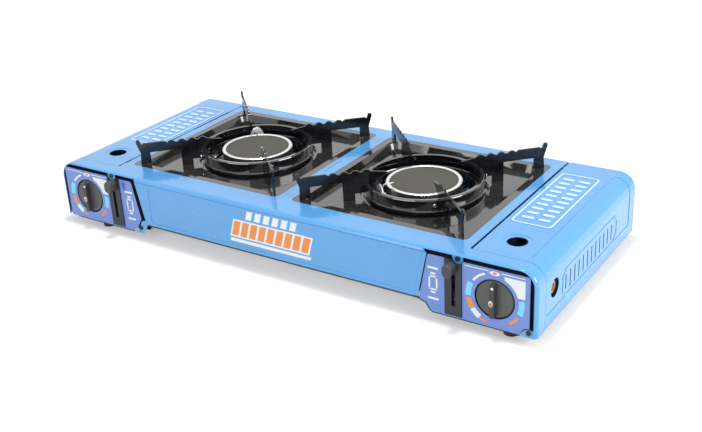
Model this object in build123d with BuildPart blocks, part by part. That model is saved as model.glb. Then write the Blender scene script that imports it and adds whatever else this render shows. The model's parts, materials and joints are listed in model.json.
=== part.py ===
"""Two-burner cassette stove, built as separate pieces, in millimetres, +Z up.

The origin is on the table, under the middle of the footprint, with the knobs and levers counted in.
+X is to the user's right and -Y is the front, where the knobs are. The two ends mirror each other
about X = 0, so most pieces are built for the right-hand end and written as a mirrored pair.
"""

from build123d import *
from math import cos, radians, sin, sqrt
import os

os.makedirs("parts", exist_ok=True)

# ---------------------------------------------------------------- driving dimensions
body_depth = 283.4
top_z = 83.0  # burner deck above the table
foot_height = 9.0
step_height = 14.4  # the middle of the underside is this much higher than the two ends
step_inset = 40.8  # from the lock lever in to where the curved step begins
step_run = 17.0  # width of the curved step
left_step_shift = 12.0  # the left-hand step lies this much nearer the middle, and is steeper
left_step_run = 12.5
sheet = 1.0  # pressed steel of the housing and lids
pan_sheet = 1.2  # pressed steel of the base pan, bulkheads and cradles
end_radius = 20.0  # big rounding along the two ends
edge_radius = 5.0  # rounding of the front and back edges
control_reach = 13.4  # knobs and levers stand this far in front of the body
seat_gap = 0.2  # between sheet pieces that lie against each other
slide_gap = 0.4  # between pieces that slide past each other
pin_gap = 0.05  # radial running clearance of pins and shafts

# along the deck, from the middle to an end
middle_bar = 20.6  # between the two tray openings
side_strip = 13.05  # from a tray opening to the lid's seam
seam_to_bulkhead = 4.35
hinge_outset = 2.65  # from the seam out to the hinge rod
bay_gap = 4.0  # room for the yoke between bulkhead and cradle
end_room = 10.8  # from the cradle to the outside of the end wall

# lids over the cartridge compartments
seam_gap = 3.0
lid_gap = 0.8
lid_front = 20.0  # from the body's front to the lid's front edge
lid_back_post = 6.4  # rear corner post that stays on the housing
lid_skirt = 6.1  # height of the lid's skirt along the back
hinge_drop = 3.5
hinge_pin_r = 1.25
knuckle_r = 2.9
ear_r = 2.2
knuckle_length = 24.0
ear_length = 4.0
swing_room = 1.7  # below the hinge axis, free for the edge of an opening lid

# burners and trays
tray_offset_y = 4.5  # trays sit this far behind the middle of the body
tray_size = 224.0
tray_corner = 6.0
tray_rim = 8.0
tray_sheet = 0.8
tray_drop = 9.0  # from the deck to the tray's floor
tray_well_r = 76.0
tray_well_depth = 5.0
tray_hole_r = 59.5
tray_collar = 10.0  # height of the collar round the burner hole, from the well
ledge_drop = 1.2
ring_r = 70.5
ring_wall = 1.2
ring_rise = 9.0  # top of the windshield ring above the deck
ring_lip = 5.0
ring_bead_drop = 14.5  # from the ring's top to its bead
ring_bead = 1.0
cup_r = 44.0
cup_wall = 1.2
cup_height = 19.6
cup_rise = 2.6  # top of the cup above the deck
plate_r = 42.4
plate_thickness = 12.0
clamp_r = 44.9
clamp_opening_r = 40.4
clamp_wall = 0.6
tube_r = 9.0
tube_wall = 1.2
tube_drop = 27.0  # mixing tube's axis below the deck
igniter_r = 52.0
igniter_angles = {"right": -125.0, "left": 128.0}

# pan-support arms, as heights above the deck and distances from the burner's axis
arm_sheet = 2.5
tooth_first_r = 68.7
tooth_pitch = 13.0
tooth_count = 4
tooth_half = 5.0
tooth_height = 2.8
arm_top = 23.8
arm_flat = 26.3
horn_top = 31.0
arm_under = 13.8

# control panels
knob_z = 43.3
knob_r = 20.7
knob_thickness = 3.0
knob_proud = 0.3  # face of the knob in front of the label
knob_well_gap = 1.7
fin_rise = 7.0
shaft_r = 3.0
lever_inset = 5.2  # lock lever inwards of the bulkhead
lever_z = 68.5
lever_travel = 32.0
lever_button = (11.0, 14.5)
lever_button_inset = 2.0  # button inwards of its slot
slot_width = 4.4
panel_end_gap = 8.0
panel_top_drop = 6.0
panel_bottom_clear = 1.2
label_sheet = 0.4
panel_wall = 2.2
panel_depth = 9.1
notch_offset = 3.7  # screw notch outwards of the lever
notch_r = 8.0

# cartridge gear
cartridge_r = 33.5
cradle_play = 0.8
cartridge_length = 185.0
yoke_travel = 8.0
yoke_ratio = yoke_travel / lever_travel

# ---------------------------------------------------------------- places worked out from them
burner_x = (middle_bar + tray_size) / 2
seam_x = burner_x + tray_size / 2 + side_strip
bulkhead_x = seam_x - seam_to_bulkhead
hinge_x = seam_x + hinge_outset
hinge_z = top_z - hinge_drop
lever_x = bulkhead_x - lever_inset
cradle_half = cartridge_r + cradle_play
knob_x = bulkhead_x + pan_sheet + bay_gap + pan_sheet + cradle_half
half_length = knob_x + cradle_half + pan_sheet + end_room
step_start = lever_x - step_inset
back_y = (body_depth + control_reach) / 2
front_y = back_y - body_depth
reach_y = front_y - control_reach
burner_y = (front_y + back_y) / 2 + tray_offset_y
lid_skirt_z = top_z - lid_skirt
tray_floor_z = top_z - tray_drop
ledge_z = top_z - ledge_drop
ring_top_z = top_z + ring_rise
cup_top_z = top_z + cup_rise
cup_bottom_z = cup_top_z - cup_height
tube_z = top_z - tube_drop
panel_top_z = top_z - panel_top_drop
panel_outer_x = half_length - panel_end_gap
notch_x = lever_x + notch_offset
end_z = foot_height
middle_z = end_z + step_height
step_end = step_start + step_run
left_step_start = step_start - left_step_shift
left_step_end = left_step_start + left_step_run
floor_z = end_z + pan_sheet
deck_under = top_z - sheet
lid_front_y = front_y + lid_front
panel_front_y = front_y + label_sheet
panel_back_y = panel_front_y + panel_depth
lid_side_back_y = back_y - lid_back_post
sides = {"right": 1, "left": -1}


def write(piece, name):
    """Label a finished piece and write it."""
    piece.label = name
    export_step(piece, f"parts/{name}.step")


def write_side(piece, name, side_name):
    """Write a piece laid out at the right-hand end for the end that it belongs to."""
    write(piece if side_name == "right" else mirror(piece, about=Plane.YZ), f"{name}_{side_name}")


def write_pair(piece, name):
    """Write a right-hand piece and its mirror image at the left-hand end."""
    write(piece, f"{name}_right")
    write(mirror(piece, about=Plane.YZ), f"{name}_left")


def facing_front(y):
    """Sketch plane at depth y: x to the right, y upwards, extruding towards the front."""
    return Plane.XZ.offset(-y)


def facing_right(x):
    """Sketch plane at x: x to the back, y upwards, extruding to the right."""
    return Plane.YZ.offset(x)


def radial_plane(center_x, angle):
    """Upright sketch plane through a burner's axis, with x pointing outwards at the angle."""
    a = radians(angle)
    return Plane(origin=(center_x, burner_y, 0), x_dir=(cos(a), sin(a), 0), z_dir=(sin(a), -cos(a), 0))


def facing_out(center_x, angle, r):
    """Upright sketch plane at distance r from a burner's axis, facing away from it."""
    a = radians(angle)
    place = (center_x + r * cos(a), burner_y + r * sin(a), 0)
    return Plane(origin=place, x_dir=(-sin(a), cos(a), 0), z_dir=(cos(a), sin(a), 0))


# ---------------------------------------------------------------- body: blanks shared by housing and lids
def rounded_block(inset, low_z):
    """The body's outline as a solid, all walls moved in by the inset, from low_z up."""
    with BuildPart() as block:
        with BuildSketch(facing_front(front_y + inset)) as outline:
            with Locations((0, (low_z + top_z - inset) / 2)):
                Rectangle(2 * (half_length - inset), top_z - inset - low_z)
            fillet(outline.vertices().group_by(Axis.Y)[-1], end_radius - inset)
        extrude(amount=-(body_depth - 2 * inset))
        rims = block.faces().filter_by(Axis.Y).edges()
        fillet(rims.filter_by(lambda e: e.center().Z > low_z + 0.01), edge_radius - inset)
    return block.part


def below_floor(lift, half_width):
    """Face of everything under the stepped floor line, the line raised by lift."""
    deep = -20.0
    low, high = end_z + lift, middle_z + lift
    with BuildSketch(facing_front(front_y)) as region:
        with BuildLine():
            Polyline((-left_step_end, low), (-half_width, low), (-half_width, deep), (half_width, deep))
            Polyline((half_width, deep), (half_width, low), (step_end, low))
            Spline((step_end, low), (step_start, high), tangents=((-1, 0), (-1, 0)))
            Line((step_start, high), (-left_step_start, high))
            Spline((-left_step_start, high), (-left_step_end, low), tangents=((-1, 0), (-1, 0)))
        make_face()
    return region.sketch


def lid_space(shrink):
    """Room that a right-hand lid takes out of the shell, each face moved in by shrink."""
    x0 = seam_x - seam_gap / 2 + (seam_gap if shrink else 0)
    far = half_length + 10
    with BuildPart() as space:
        with BuildSketch(Plane.XY.offset(end_z - 5 + (5 + lid_gap / 2 if shrink else 0))):
            with Locations(((x0 + far) / 2, (lid_front_y + lid_side_back_y) / 2)):
                Rectangle(far - x0, lid_side_back_y - lid_front_y - 2 * shrink)
        extrude(amount=top_z + 10)
        with BuildSketch(Plane.XY.offset(lid_skirt_z + shrink)):
            with Locations(((x0 + far) / 2, back_y)):
                Rectangle(far - x0, 2 * lid_back_post + 2)
        extrude(amount=top_z + 10 - lid_skirt_z)
    return space.part


def body_shell():
    """Pressed shell before anything is cut out of it."""
    with BuildPart() as shell:
        add(rounded_block(0, end_z))
        add(rounded_block(sheet, end_z - 5), mode=Mode.SUBTRACT)
    return shell.part


shell_blank = body_shell()

# ---------------------------------------------------------------- control panel outlines
panel_low_z = end_z + panel_bottom_clear
panel_inner_top = (lever_x - 30.3, panel_top_z)
panel_inner_low = (step_start - 0.7, middle_z - 0.9)
# the face's lower inner corner: it follows the step at the right, and leaves room for a screw tab at the left
panel_foot = {
    "right": [(step_end - 2.5, panel_low_z), (step_start + 8.0, middle_z - 3.9), panel_inner_low],
    "left": [
        (left_step_end + 16.5, panel_low_z),
        (left_step_end + 9.0, middle_z - 8.4),
        (left_step_end + 0.3, middle_z + 5.5),
    ],
}
panel_notch = (notch_x, panel_top_z + 3.5)
corner_notch_x = panel_outer_x
corner_notch_r = 10.5
opening_top_z = deck_under - 0.6
opening_outer_x = half_length - 3.6
opening_corner_r = end_radius - 3.6
guide_left = lever_x - 10.3
guide_right = lever_x + 9.3
guide_low = panel_low_z + 2.0


def panel_face(side_name, y, margin=0.0):
    """Outline of the raised part of a panel, laid out at the right-hand end and offset by the margin."""
    with BuildSketch(facing_front(y)) as outline:
        with BuildLine():
            Polyline(
                *panel_foot[side_name],
                panel_inner_top,
                (panel_outer_x, panel_top_z),
                (panel_outer_x, panel_low_z),
                close=True,
            )
        make_face()
        fillet(outline.vertices(), 2.5)
        if margin:
            offset(amount=margin, mode=Mode.REPLACE)
        with Locations(panel_notch):
            Circle(notch_r - margin, mode=Mode.SUBTRACT)
        if side_name == "right":
            with Locations((corner_notch_x, end_z)):
                Circle(corner_notch_r - margin, mode=Mode.SUBTRACT)
    return outline.sketch


# ---------------------------------------------------------------- housing
flange_thickness = 2.0
opening_corners = [
    (panel_inner_top[0] - 5.5, opening_top_z),
    (panel_inner_low[0] - 6.5, middle_z - 0.4),
    (panel_inner_low[0] - 6.5, 0),
    (opening_outer_x, 0),
    (opening_outer_x, opening_top_z),
]
tab_half = 6.0
top_tab_front = front_y + 2.0
head_r = 2.9
top_screw = (notch_x, opening_top_z - head_r - 0.1)
corner_screw = {"right": (corner_notch_x - 0.5, end_z + 5.8), "left": (left_step_end + 2.5, end_z + 7.6)}
screw_r = 1.5
ledge_outer = tray_size + 0.6 + 2 * sheet
ledge_inner = tray_size - 2 * tray_rim + 1.0

with BuildPart() as housing:
    add(shell_blank)
    extrude(below_floor(0, half_length + 5), amount=-body_depth, mode=Mode.SUBTRACT)
    # room for the lids
    add(lid_space(0), mode=Mode.SUBTRACT)
    add(mirror(lid_space(0), about=Plane.YZ), mode=Mode.SUBTRACT)
    # tray wells: a stepped ledge round each square opening
    for side in sides.values():
        with BuildSketch(Plane.XY.offset(ledge_z - sheet)):
            with Locations((side * burner_x, burner_y)):
                RectangleRounded(ledge_outer, ledge_outer, tray_corner + sheet + 0.3)
        extrude(amount=deck_under + 0.3 - ledge_z + sheet)
        with BuildSketch(Plane.XY.offset(ledge_z)):
            with Locations((side * burner_x, burner_y)):
                RectangleRounded(ledge_outer - 2 * sheet, ledge_outer - 2 * sheet, tray_corner + 0.3)
        extrude(amount=10, mode=Mode.SUBTRACT)
        with BuildSketch(Plane.XY.offset(ledge_z - 5)):
            with Locations((side * burner_x, burner_y)):
                RectangleRounded(ledge_inner, ledge_inner, tray_corner)
        extrude(amount=10, mode=Mode.SUBTRACT)
    # front openings for the control panels
    with BuildSketch(facing_front(front_y - 5)) as openings:
        with BuildLine():
            Polyline(*opening_corners, close=True)
        make_face()
        fillet(openings.vertices().sort_by(Axis.X)[-2:].sort_by(Axis.Y)[-1], opening_corner_r)
        mirror(about=Plane.YZ)
    extrude(amount=-10 - sheet, mode=Mode.SUBTRACT)
    # screw tabs: one hangs from the deck's lip, one fills the lower outer corner
    with BuildSketch(facing_front(top_tab_front)):
        with Locations((notch_x, top_screw[1])):
            Rectangle(2 * tab_half, tab_half)
            Circle(tab_half)
        with Locations((notch_x, deck_under - 0.4 + tab_half)):
            Rectangle(2 * tab_half, 2 * tab_half, mode=Mode.SUBTRACT)
        with Locations(top_screw):
            Circle(screw_r + pin_gap, mode=Mode.SUBTRACT)
        mirror(about=Plane.YZ)
    extrude(amount=-sheet)
    with BuildSketch(facing_front(front_y)):
        with Locations((corner_notch_x, end_z)):
            Circle(corner_notch_r - 1.2)
        with Locations((opening_outer_x - 20, end_z + 20)):
            Rectangle(42, 40, mode=Mode.INTERSECT)
        with Locations(corner_screw["right"]):
            Circle(screw_r + pin_gap, mode=Mode.SUBTRACT)
    extrude(amount=-sheet)
    # at the left the tab fills the lower inner corner, beside the step
    with BuildSketch(facing_front(front_y)) as left_tab:
        with BuildLine():
            Polyline(
                (-left_step_end, end_z),
                (-(left_step_end + 14.4), end_z),
                (-(left_step_end + 7.0), middle_z - 10.4),
                (-(left_step_end - 0.7), middle_z + 3.1),
                (-(left_step_start + 2.0), middle_z + 5.0),
                (-(left_step_start + 2.0), middle_z),
                close=True,
            )
        make_face()
        fillet(left_tab.vertices().group_by(Axis.X)[0], 1.0)
    extrude(amount=-sheet)
    with BuildSketch(facing_front(front_y - 1)):
        with Locations((-corner_screw["left"][0], corner_screw["left"][1])):
            Circle(screw_r + pin_gap)
    extrude(amount=-sheet - 2, mode=Mode.SUBTRACT)
    extrude(below_floor(0, half_length + 5), amount=-body_depth, mode=Mode.SUBTRACT)
    # inner edge of each opening, turned in
    for side in sides.values():
        with BuildSketch(facing_front(front_y + sheet / 2)):
            with BuildLine():
                Polyline(
                    (side * opening_corners[0][0], opening_top_z + 0.2),
                    (side * opening_corners[1][0], middle_z + 0.1),
                    (side * (opening_corners[1][0] - sheet), middle_z + 0.1),
                    (side * (opening_corners[0][0] - sheet), opening_top_z + 0.2),
                    close=True,
                )
            make_face()
        extrude(amount=-(panel_back_y - flange_thickness - slide_gap - front_y - sheet / 2))
    # shallow recess across the middle of the front, and the groove between the trays
    with BuildSketch(facing_front(front_y)):
        with Locations((0, (middle_z + 4 + top_z - edge_radius) / 2)):
            RectangleRounded(2 * (step_start - 17), top_z - edge_radius - middle_z - 4, 4)
    extrude(amount=-0.4, mode=Mode.SUBTRACT)
    with BuildSketch(Plane.XY.offset(top_z)):
        with Locations((-middle_bar * 0.15, burner_y - 5)):
            SlotOverall(37, 3.2, rotation=90)
    extrude(amount=-0.6, mode=Mode.SUBTRACT)
    # air slots low in the back wall
    with BuildSketch(facing_front(back_y + 5)):
        for side in sides.values():
            with Locations((side * burner_x, middle_z + 18)):
                with GridLocations(12, 1, 9, 1):
                    SlotOverall(20, 3.5, rotation=90)
    extrude(amount=10, mode=Mode.SUBTRACT)
write(housing.part, "housing")

# ---------------------------------------------------------------- base pan
pan_front_y = front_y + sheet + seat_gap
pan_back_y = back_y - sheet - seat_gap
pan_half = half_length - sheet - seat_gap
foot_x = (half_length - 34.0, -(half_length - 59.0))
foot_y = (front_y + 15.5, back_y - 24.0)
foot_points = [(x, y) for x in foot_x for y in foot_y]
foot_screw_r = 2.0

with BuildPart() as base_pan:
    extrude(below_floor(pan_sheet, pan_half), amount=-body_depth)
    extrude(below_floor(0, half_length + 5), amount=-body_depth - 1, mode=Mode.SUBTRACT)
    with BuildSketch(Plane.XY.offset(-25)):
        with Locations((0, (pan_front_y + pan_back_y) / 2)):
            RectangleRounded(2 * pan_half, pan_back_y - pan_front_y, edge_radius - sheet)
    extrude(amount=75, mode=Mode.INTERSECT)
    # set back behind the control panels
    with BuildSketch(Plane.XY.offset(0)):
        for side in sides.values():
            with Locations((side * (panel_inner_low[0] - 8 + half_length) / 2, front_y)):
                Rectangle(half_length - panel_inner_low[0] + 8, 2 * (panel_back_y + seat_gap - front_y))
    extrude(amount=50, mode=Mode.SUBTRACT)
    # turned-up side edges behind the lids
    for side in sides.values():
        with BuildSketch(Plane.XY.offset(end_z)):
            with Locations((side * (pan_half - pan_sheet / 2), (lid_front_y + lid_side_back_y) / 2)):
                Rectangle(pan_sheet, lid_side_back_y - lid_front_y - 4)
        extrude(amount=12)
    # air slots in a ring under each burner, and the foot screws' holes
    with BuildSketch(Plane.XY.offset(0)):
        for side in sides.values():
            with Locations((side * burner_x, burner_y)):
                with PolarLocations(48, 10):
                    SlotOverall(22, 5)
        with Locations(*foot_points):
            Circle(foot_screw_r + pin_gap)
    extrude(amount=50, mode=Mode.SUBTRACT)
write(base_pan.part, "base_pan")

# ---------------------------------------------------------------- feet
foot_r = 10.0
foot_recess_r = 5.0
foot_recess = 4.0
with BuildPart() as feet:
    with Locations(*[(x, y, 0) for x, y in foot_points]):
        Cone(foot_r - 1.5, foot_r, foot_height, align=(Align.CENTER, Align.CENTER, Align.MIN))
        Cylinder(
            foot_recess_r,
            foot_recess,
            align=(Align.CENTER, Align.CENTER, Align.MIN),
            mode=Mode.SUBTRACT,
        )
        Cylinder(
            foot_screw_r + pin_gap,
            foot_height,
            align=(Align.CENTER, Align.CENTER, Align.MIN),
            mode=Mode.SUBTRACT,
        )
write(feet.part, "feet")

# ---------------------------------------------------------------- screws of the panels and the feet
head_height = 1.2
screw_length = 7.5
with BuildPart() as screws:
    for side_name, side in sides.items():
        for (x, z), y in ((top_screw, top_tab_front), (corner_screw[side_name], front_y)):
            with BuildSketch(facing_front(y)):
                with Locations((side * x, z)):
                    Circle(head_r)
            extrude(amount=head_height)
            with BuildSketch(facing_front(y)):
                with Locations((side * x, z)):
                    Circle(screw_r)
            extrude(amount=-screw_length)
            with BuildSketch(facing_front(y - head_height)):
                with Locations((side * x, z)):
                    Rectangle(0.6, 3.2)
                    Rectangle(3.2, 0.6)
            extrude(amount=-0.6, mode=Mode.SUBTRACT)
    with BuildSketch(Plane.XY.offset(foot_recess - 2.0)):
        with Locations(*foot_points):
            Circle(foot_recess_r - 1.0)
    extrude(amount=2.0)
    with BuildSketch(Plane.XY.offset(foot_recess)):
        with Locations(*foot_points):
            Circle(foot_screw_r)
    extrude(amount=floor_z - foot_recess)
write(screws.part, "screws")

# ---------------------------------------------------------------- bulkhead with the hinge ears
bulkhead_front_y = front_y + 15.5
bulkhead_outer_x = bulkhead_x + pan_sheet
lid_middle_y = (lid_front_y + lid_side_back_y) / 2
ear_centers = [lid_front_y + 25.5, lid_middle_y - 38, lid_middle_y + 52, lid_side_back_y - 3.6]
knuckle_centers = [ear_centers[0] + 15.0, lid_middle_y + 7, ear_centers[-1] - 16.4]
pipe_y = front_y + 49.0
pipe_low_z = knob_z - 16.3
lead_y = front_y + 55.0
lead_z = top_z - 16.0
lead_r = 1.5
grommet_r = 3.5

with BuildPart() as bulkhead:
    with BuildSketch(facing_right(bulkhead_x)) as plate:
        width = pan_back_y - bulkhead_front_y
        with Locations(((pan_back_y + bulkhead_front_y) / 2, (floor_z + deck_under) / 2)):
            Rectangle(width, deck_under - floor_z - 2 * seat_gap)
        fillet(plate.vertices().sort_by(Axis.X)[-2:].sort_by(Axis.Y)[-1], edge_radius - sheet)
        with Locations((pipe_y, pipe_low_z)):
            Circle(4.5, mode=Mode.SUBTRACT)
        with Locations((lead_y, lead_z)):
            Circle(grommet_r, mode=Mode.SUBTRACT)
    extrude(amount=pan_sheet)
    # foot flange on the floor of the burner side
    with BuildSketch(Plane.XY.offset(floor_z + seat_gap)):
        with Locations((bulkhead_x - 5, (pan_back_y + bulkhead_front_y) / 2)):
            Rectangle(12, width)
    extrude(amount=pan_sheet)
    # ears that hold the hinge rod: they reach it from below, out of the way of the opening lid
    for y in ear_centers:
        with BuildSketch(facing_front(y - ear_length / 2)):
            with BuildLine():
                Polyline(
                    (bulkhead_x, hinge_z - swing_room - 4.3),
                    (bulkhead_x, hinge_z - swing_room),
                    (hinge_x - ear_r, hinge_z - swing_room),
                    (hinge_x - ear_r, hinge_z),
                    (hinge_x + ear_r, hinge_z),
                    (hinge_x + ear_r, hinge_z - 0.6),
                    (hinge_x - 0.6, hinge_z - 3.9),
                    (hinge_x - 1.5, hinge_z - 4.8),
                    close=True,
                )
            make_face()
            with Locations((hinge_x, hinge_z)):
                Circle(ear_r)
        extrude(amount=-ear_length)
    with BuildSketch(facing_front(lid_front_y)):
        with Locations((hinge_x, hinge_z)):
            Circle(hinge_pin_r + pin_gap)
    extrude(amount=-body_depth, mode=Mode.SUBTRACT)
write_pair(bulkhead.part, "bulkhead")

with BuildPart() as hinge_rod:
    with BuildSketch(facing_front(ear_centers[0] - ear_length / 2 - 1)):
        with Locations((hinge_x, hinge_z)):
            Circle(hinge_pin_r)
    extrude(amount=-(ear_centers[-1] - ear_centers[0] + ear_length + 2))
write_pair(hinge_rod.part, "hinge_rod")

# ---------------------------------------------------------------- compartment lid
finger_x = knob_x - 1.7
finger_y = front_y + 56.5
finger_r = 11.1
dish_r = 16.0
port_y = front_y + 44.3
port_z = knob_z + 3.9
port_r = 10.5
wrap_start_x = half_length - end_radius
wrap_front_y = lid_front_y + 3.7
wrap_back_y = lid_side_back_y - 14.3
wrap_depth = 0.5
frame_x = (seam_x + 6.65, wrap_start_x - 9.0)
frame_y = (port_y + 53.7, lid_side_back_y - 34.0)
frame_line = 2.2
rib_pitch = 12.6
rib_count = 10
emboss = 0.7
vent_y = (port_y + 20.2, lid_side_back_y - 54.5)
vent_z = (end_z + 14.5, port_z + 9.3)
vent_chamfer = 8.0
louvre_pitch = 12.0
louvre_count = 12
louvre_width = 2.4
louvre_z = (vent_z[0] + 5.5, vent_z[1] - 7.0)


def vent_outline(inset):
    """Chamfered frame round the louvres, on a plane that looks along X."""
    with BuildSketch() as region:
        with Locations(((vent_y[0] + vent_y[1]) / 2, (vent_z[0] + vent_z[1]) / 2)):
            Rectangle(vent_y[1] - vent_y[0] - 2 * inset, vent_z[1] - vent_z[0] - 2 * inset)
        chamfer(region.vertices(), vent_chamfer)
    return region.sketch


with BuildPart() as wrap:
    add(rounded_block(0, end_z - 5))
    add(rounded_block(wrap_depth, end_z - 10), mode=Mode.SUBTRACT)
    with BuildSketch(Plane.XY.offset(end_z + 15)):
        with Locations((wrap_start_x + 20, (wrap_front_y + wrap_back_y) / 2)):
            RectangleRounded(40, wrap_back_y - wrap_front_y, 8)
    extrude(amount=100, mode=Mode.INTERSECT)

with BuildPart() as lid:
    add(shell_blank)
    add(lid_space(lid_gap / 2), mode=Mode.INTERSECT)
    add(wrap.part, mode=Mode.SUBTRACT)
    # hinge knuckles rolled under the inner edge
    for y in knuckle_centers:
        with BuildSketch(facing_front(y - knuckle_length / 2)):
            with Locations((hinge_x, hinge_z)):
                Circle(knuckle_r)
        extrude(amount=-knuckle_length)
    with BuildSketch(facing_front(lid_front_y)):
        with Locations((hinge_x, hinge_z)):
            Circle(hinge_pin_r + pin_gap)
    extrude(amount=-body_depth, mode=Mode.SUBTRACT)
    # finger hole in a shallow dish
    with BuildSketch(Plane.XY.offset(top_z)):
        with Locations((finger_x, finger_y)):
            Circle(dish_r)
    extrude(amount=-0.4, mode=Mode.SUBTRACT)
    with BuildSketch(Plane.XY.offset(top_z - 5)):
        with Locations((finger_x, finger_y)):
            Circle(finger_r)
    extrude(amount=10, mode=Mode.SUBTRACT)
    # raised frame and stiffening ribs on top
    with BuildSketch(Plane.XY.offset(top_z - 0.2)):
        middle = ((frame_x[0] + frame_x[1]) / 2, (frame_y[0] + frame_y[1]) / 2)
        with Locations(middle):
            RectangleRounded(frame_x[1] - frame_x[0], frame_y[1] - frame_y[0], 6)
            RectangleRounded(
                frame_x[1] - frame_x[0] - 2 * frame_line,
                frame_y[1] - frame_y[0] - 2 * frame_line,
                6 - frame_line,
                mode=Mode.SUBTRACT,
            )
            with GridLocations(19, rib_pitch, 2, rib_count):
                SlotOverall(14, 5.0)
    extrude(amount=emboss + 0.2)
    # side wall: raised frame line, louvres and the round hose hole
    with BuildSketch(facing_right(half_length - wrap_depth - 0.2)):
        add(vent_outline(0))
        add(vent_outline(1.6), mode=Mode.SUBTRACT)
    extrude(amount=wrap_depth + 0.2)
    with BuildSketch(facing_right(half_length - 5)):
        with Locations((vent_y[0] + 9 + louvre_pitch * (louvre_count - 1) / 2, sum(louvre_z) / 2)):
            with GridLocations(louvre_pitch, 1, louvre_count, 1):
                SlotOverall(louvre_z[1] - louvre_z[0], louvre_width, rotation=90)
        add(vent_outline(4.5), mode=Mode.INTERSECT)
    extrude(amount=10, mode=Mode.SUBTRACT)
    with BuildSketch(facing_right(half_length - 5)):
        with Locations((port_y, port_z)):
            Circle(port_r)
    extrude(amount=10, mode=Mode.SUBTRACT)
write_pair(lid.part, "lid")

# ---------------------------------------------------------------- control panel, overlay, knob and shaft
panel_skin = 3.0
flange_foot = {
    "right": [
        (step_start + 3.0, middle_z + 3.1),
        (step_end - 5.0, floor_z + 8.3),
        (step_end + 3.0, floor_z + 0.6),
    ],
    "left": [
        (left_step_start + 3.0, middle_z + 3.6),
        (left_step_end - 1.5, floor_z + 7.3),
        (left_step_end + 3.0, floor_z + 0.6),
    ],
}
guide_front_y = front_y - 1.2
knob_hub_r = 6.0
hub_hole_r = 7.0
well_r = knob_r + knob_well_gap
well_floor_y = front_y - knob_proud + knob_thickness + 0.7
slot_top = lever_z + 4.6
slot_low = lever_z - lever_travel - 13.0
flange_outer = [
    (panel_inner_top[0] - 12.0, opening_top_z - 0.2),
    (panel_inner_low[0] - 12.3, middle_z + 4.1),
    (half_length - sheet - 1.4, floor_z + 0.6),
    (half_length - sheet - 1.4, opening_top_z - 0.2),
]

for side_name in sides:
    with BuildPart() as control_panel:
        extrude(panel_face(side_name, panel_front_y), amount=-(panel_back_y - panel_front_y))
        with BuildSketch(facing_front(panel_back_y - flange_thickness)) as flange:
            with BuildLine():
                Polyline(*flange_outer[:2], *flange_foot[side_name], *flange_outer[2:], close=True)
            make_face()
            fillet(flange.vertices().sort_by(Axis.X)[-2:].sort_by(Axis.Y)[-1], end_radius - 3)
        extrude(amount=-flange_thickness)
        extrude(
            panel_face(side_name, panel_front_y + panel_skin, -panel_wall),
            amount=-(panel_back_y - panel_front_y),
            mode=Mode.SUBTRACT,
        )
        # raised guide of the lock lever
        with BuildSketch(facing_front(panel_front_y)):
            with Locations(((guide_left + guide_right) / 2, (guide_low + panel_top_z) / 2)):
                Rectangle(guide_right - guide_left, panel_top_z - guide_low)
            with Locations(panel_notch):
                Circle(notch_r, mode=Mode.SUBTRACT)
        extrude(amount=panel_front_y - guide_front_y)
        with BuildSketch(facing_front(guide_front_y - 5)):
            with Locations((lever_x, (slot_low + slot_top) / 2)):
                Rectangle(slot_width, slot_top - slot_low)
        extrude(amount=-20, mode=Mode.SUBTRACT)
        # round well that the knob sits in
        with BuildSketch(facing_front(panel_front_y)):
            with Locations((knob_x, knob_z)):
                Circle(well_r + panel_wall)
        extrude(amount=panel_front_y - well_floor_y - panel_wall)
        with BuildSketch(facing_front(panel_front_y - 5)):
            with Locations((knob_x, knob_z)):
                Circle(well_r)
        extrude(amount=panel_front_y - 5 - well_floor_y, mode=Mode.SUBTRACT)
        with BuildSketch(facing_front(guide_front_y - 5)):
            with Locations((knob_x, knob_z)):
                Circle(hub_hole_r)
            for point in (top_screw, corner_screw[side_name]):
                with Locations(point):
                    Circle(screw_r + pin_gap)
        extrude(amount=-20, mode=Mode.SUBTRACT)
    write_side(control_panel.part, "control_panel", side_name)

    with BuildPart() as overlay:
        extrude(panel_face(side_name, front_y), amount=-label_sheet)
        with BuildSketch(facing_front(front_y - 1)):
            with Locations(((guide_left + guide_right) / 2, guide_low - 0.2 + 50)):
                Rectangle(guide_right - guide_left + 0.4, 100)
            with Locations((knob_x, knob_z)):
                Circle(well_r)
        extrude(amount=-3, mode=Mode.SUBTRACT)
    write_side(overlay.part, "panel_overlay", side_name)

knob_front_y = front_y - knob_proud
knob_back_y = knob_front_y + knob_thickness
fin_half = 3.5
shaft_front_y = knob_front_y + 0.9
regulator_front_y = front_y + 16.0
regulator_back_y = front_y + 53.0
shaft_back_y = regulator_front_y + 16.0

with BuildPart() as knob:
    with BuildSketch(facing_front(knob_back_y)):
        with Locations((knob_x, knob_z)):
            Circle(knob_r)
    extrude(amount=knob_thickness)
    chamfer(knob.faces().sort_by(Axis.Y)[0].edges(), 0.8)
    # grip fin, a little narrower at its crest, with rounded ends
    with BuildSketch(facing_front(knob_front_y + 0.2)):
        with Locations((knob_x, knob_z)):
            SlotOverall(2 * knob_r - 1.6, 2 * fin_half, rotation=90)
    extrude(amount=fin_rise + 0.2, taper=6)
    with BuildSketch(facing_front(knob_back_y)):
        with Locations((knob_x, knob_z)):
            Circle(knob_hub_r)
    extrude(amount=-6.0)
    with BuildSketch(facing_front(knob_back_y + 6.0)):
        with Locations((knob_x, knob_z)):
            Circle(shaft_r + pin_gap)
    extrude(amount=knob_back_y + 6.0 - shaft_front_y + 0.3, mode=Mode.SUBTRACT)

with BuildPart() as valve_shaft:
    with BuildSketch(facing_front(shaft_front_y)):
        with Locations((knob_x, knob_z)):
            Circle(shaft_r)
    extrude(amount=-(shaft_back_y - shaft_front_y))

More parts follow.
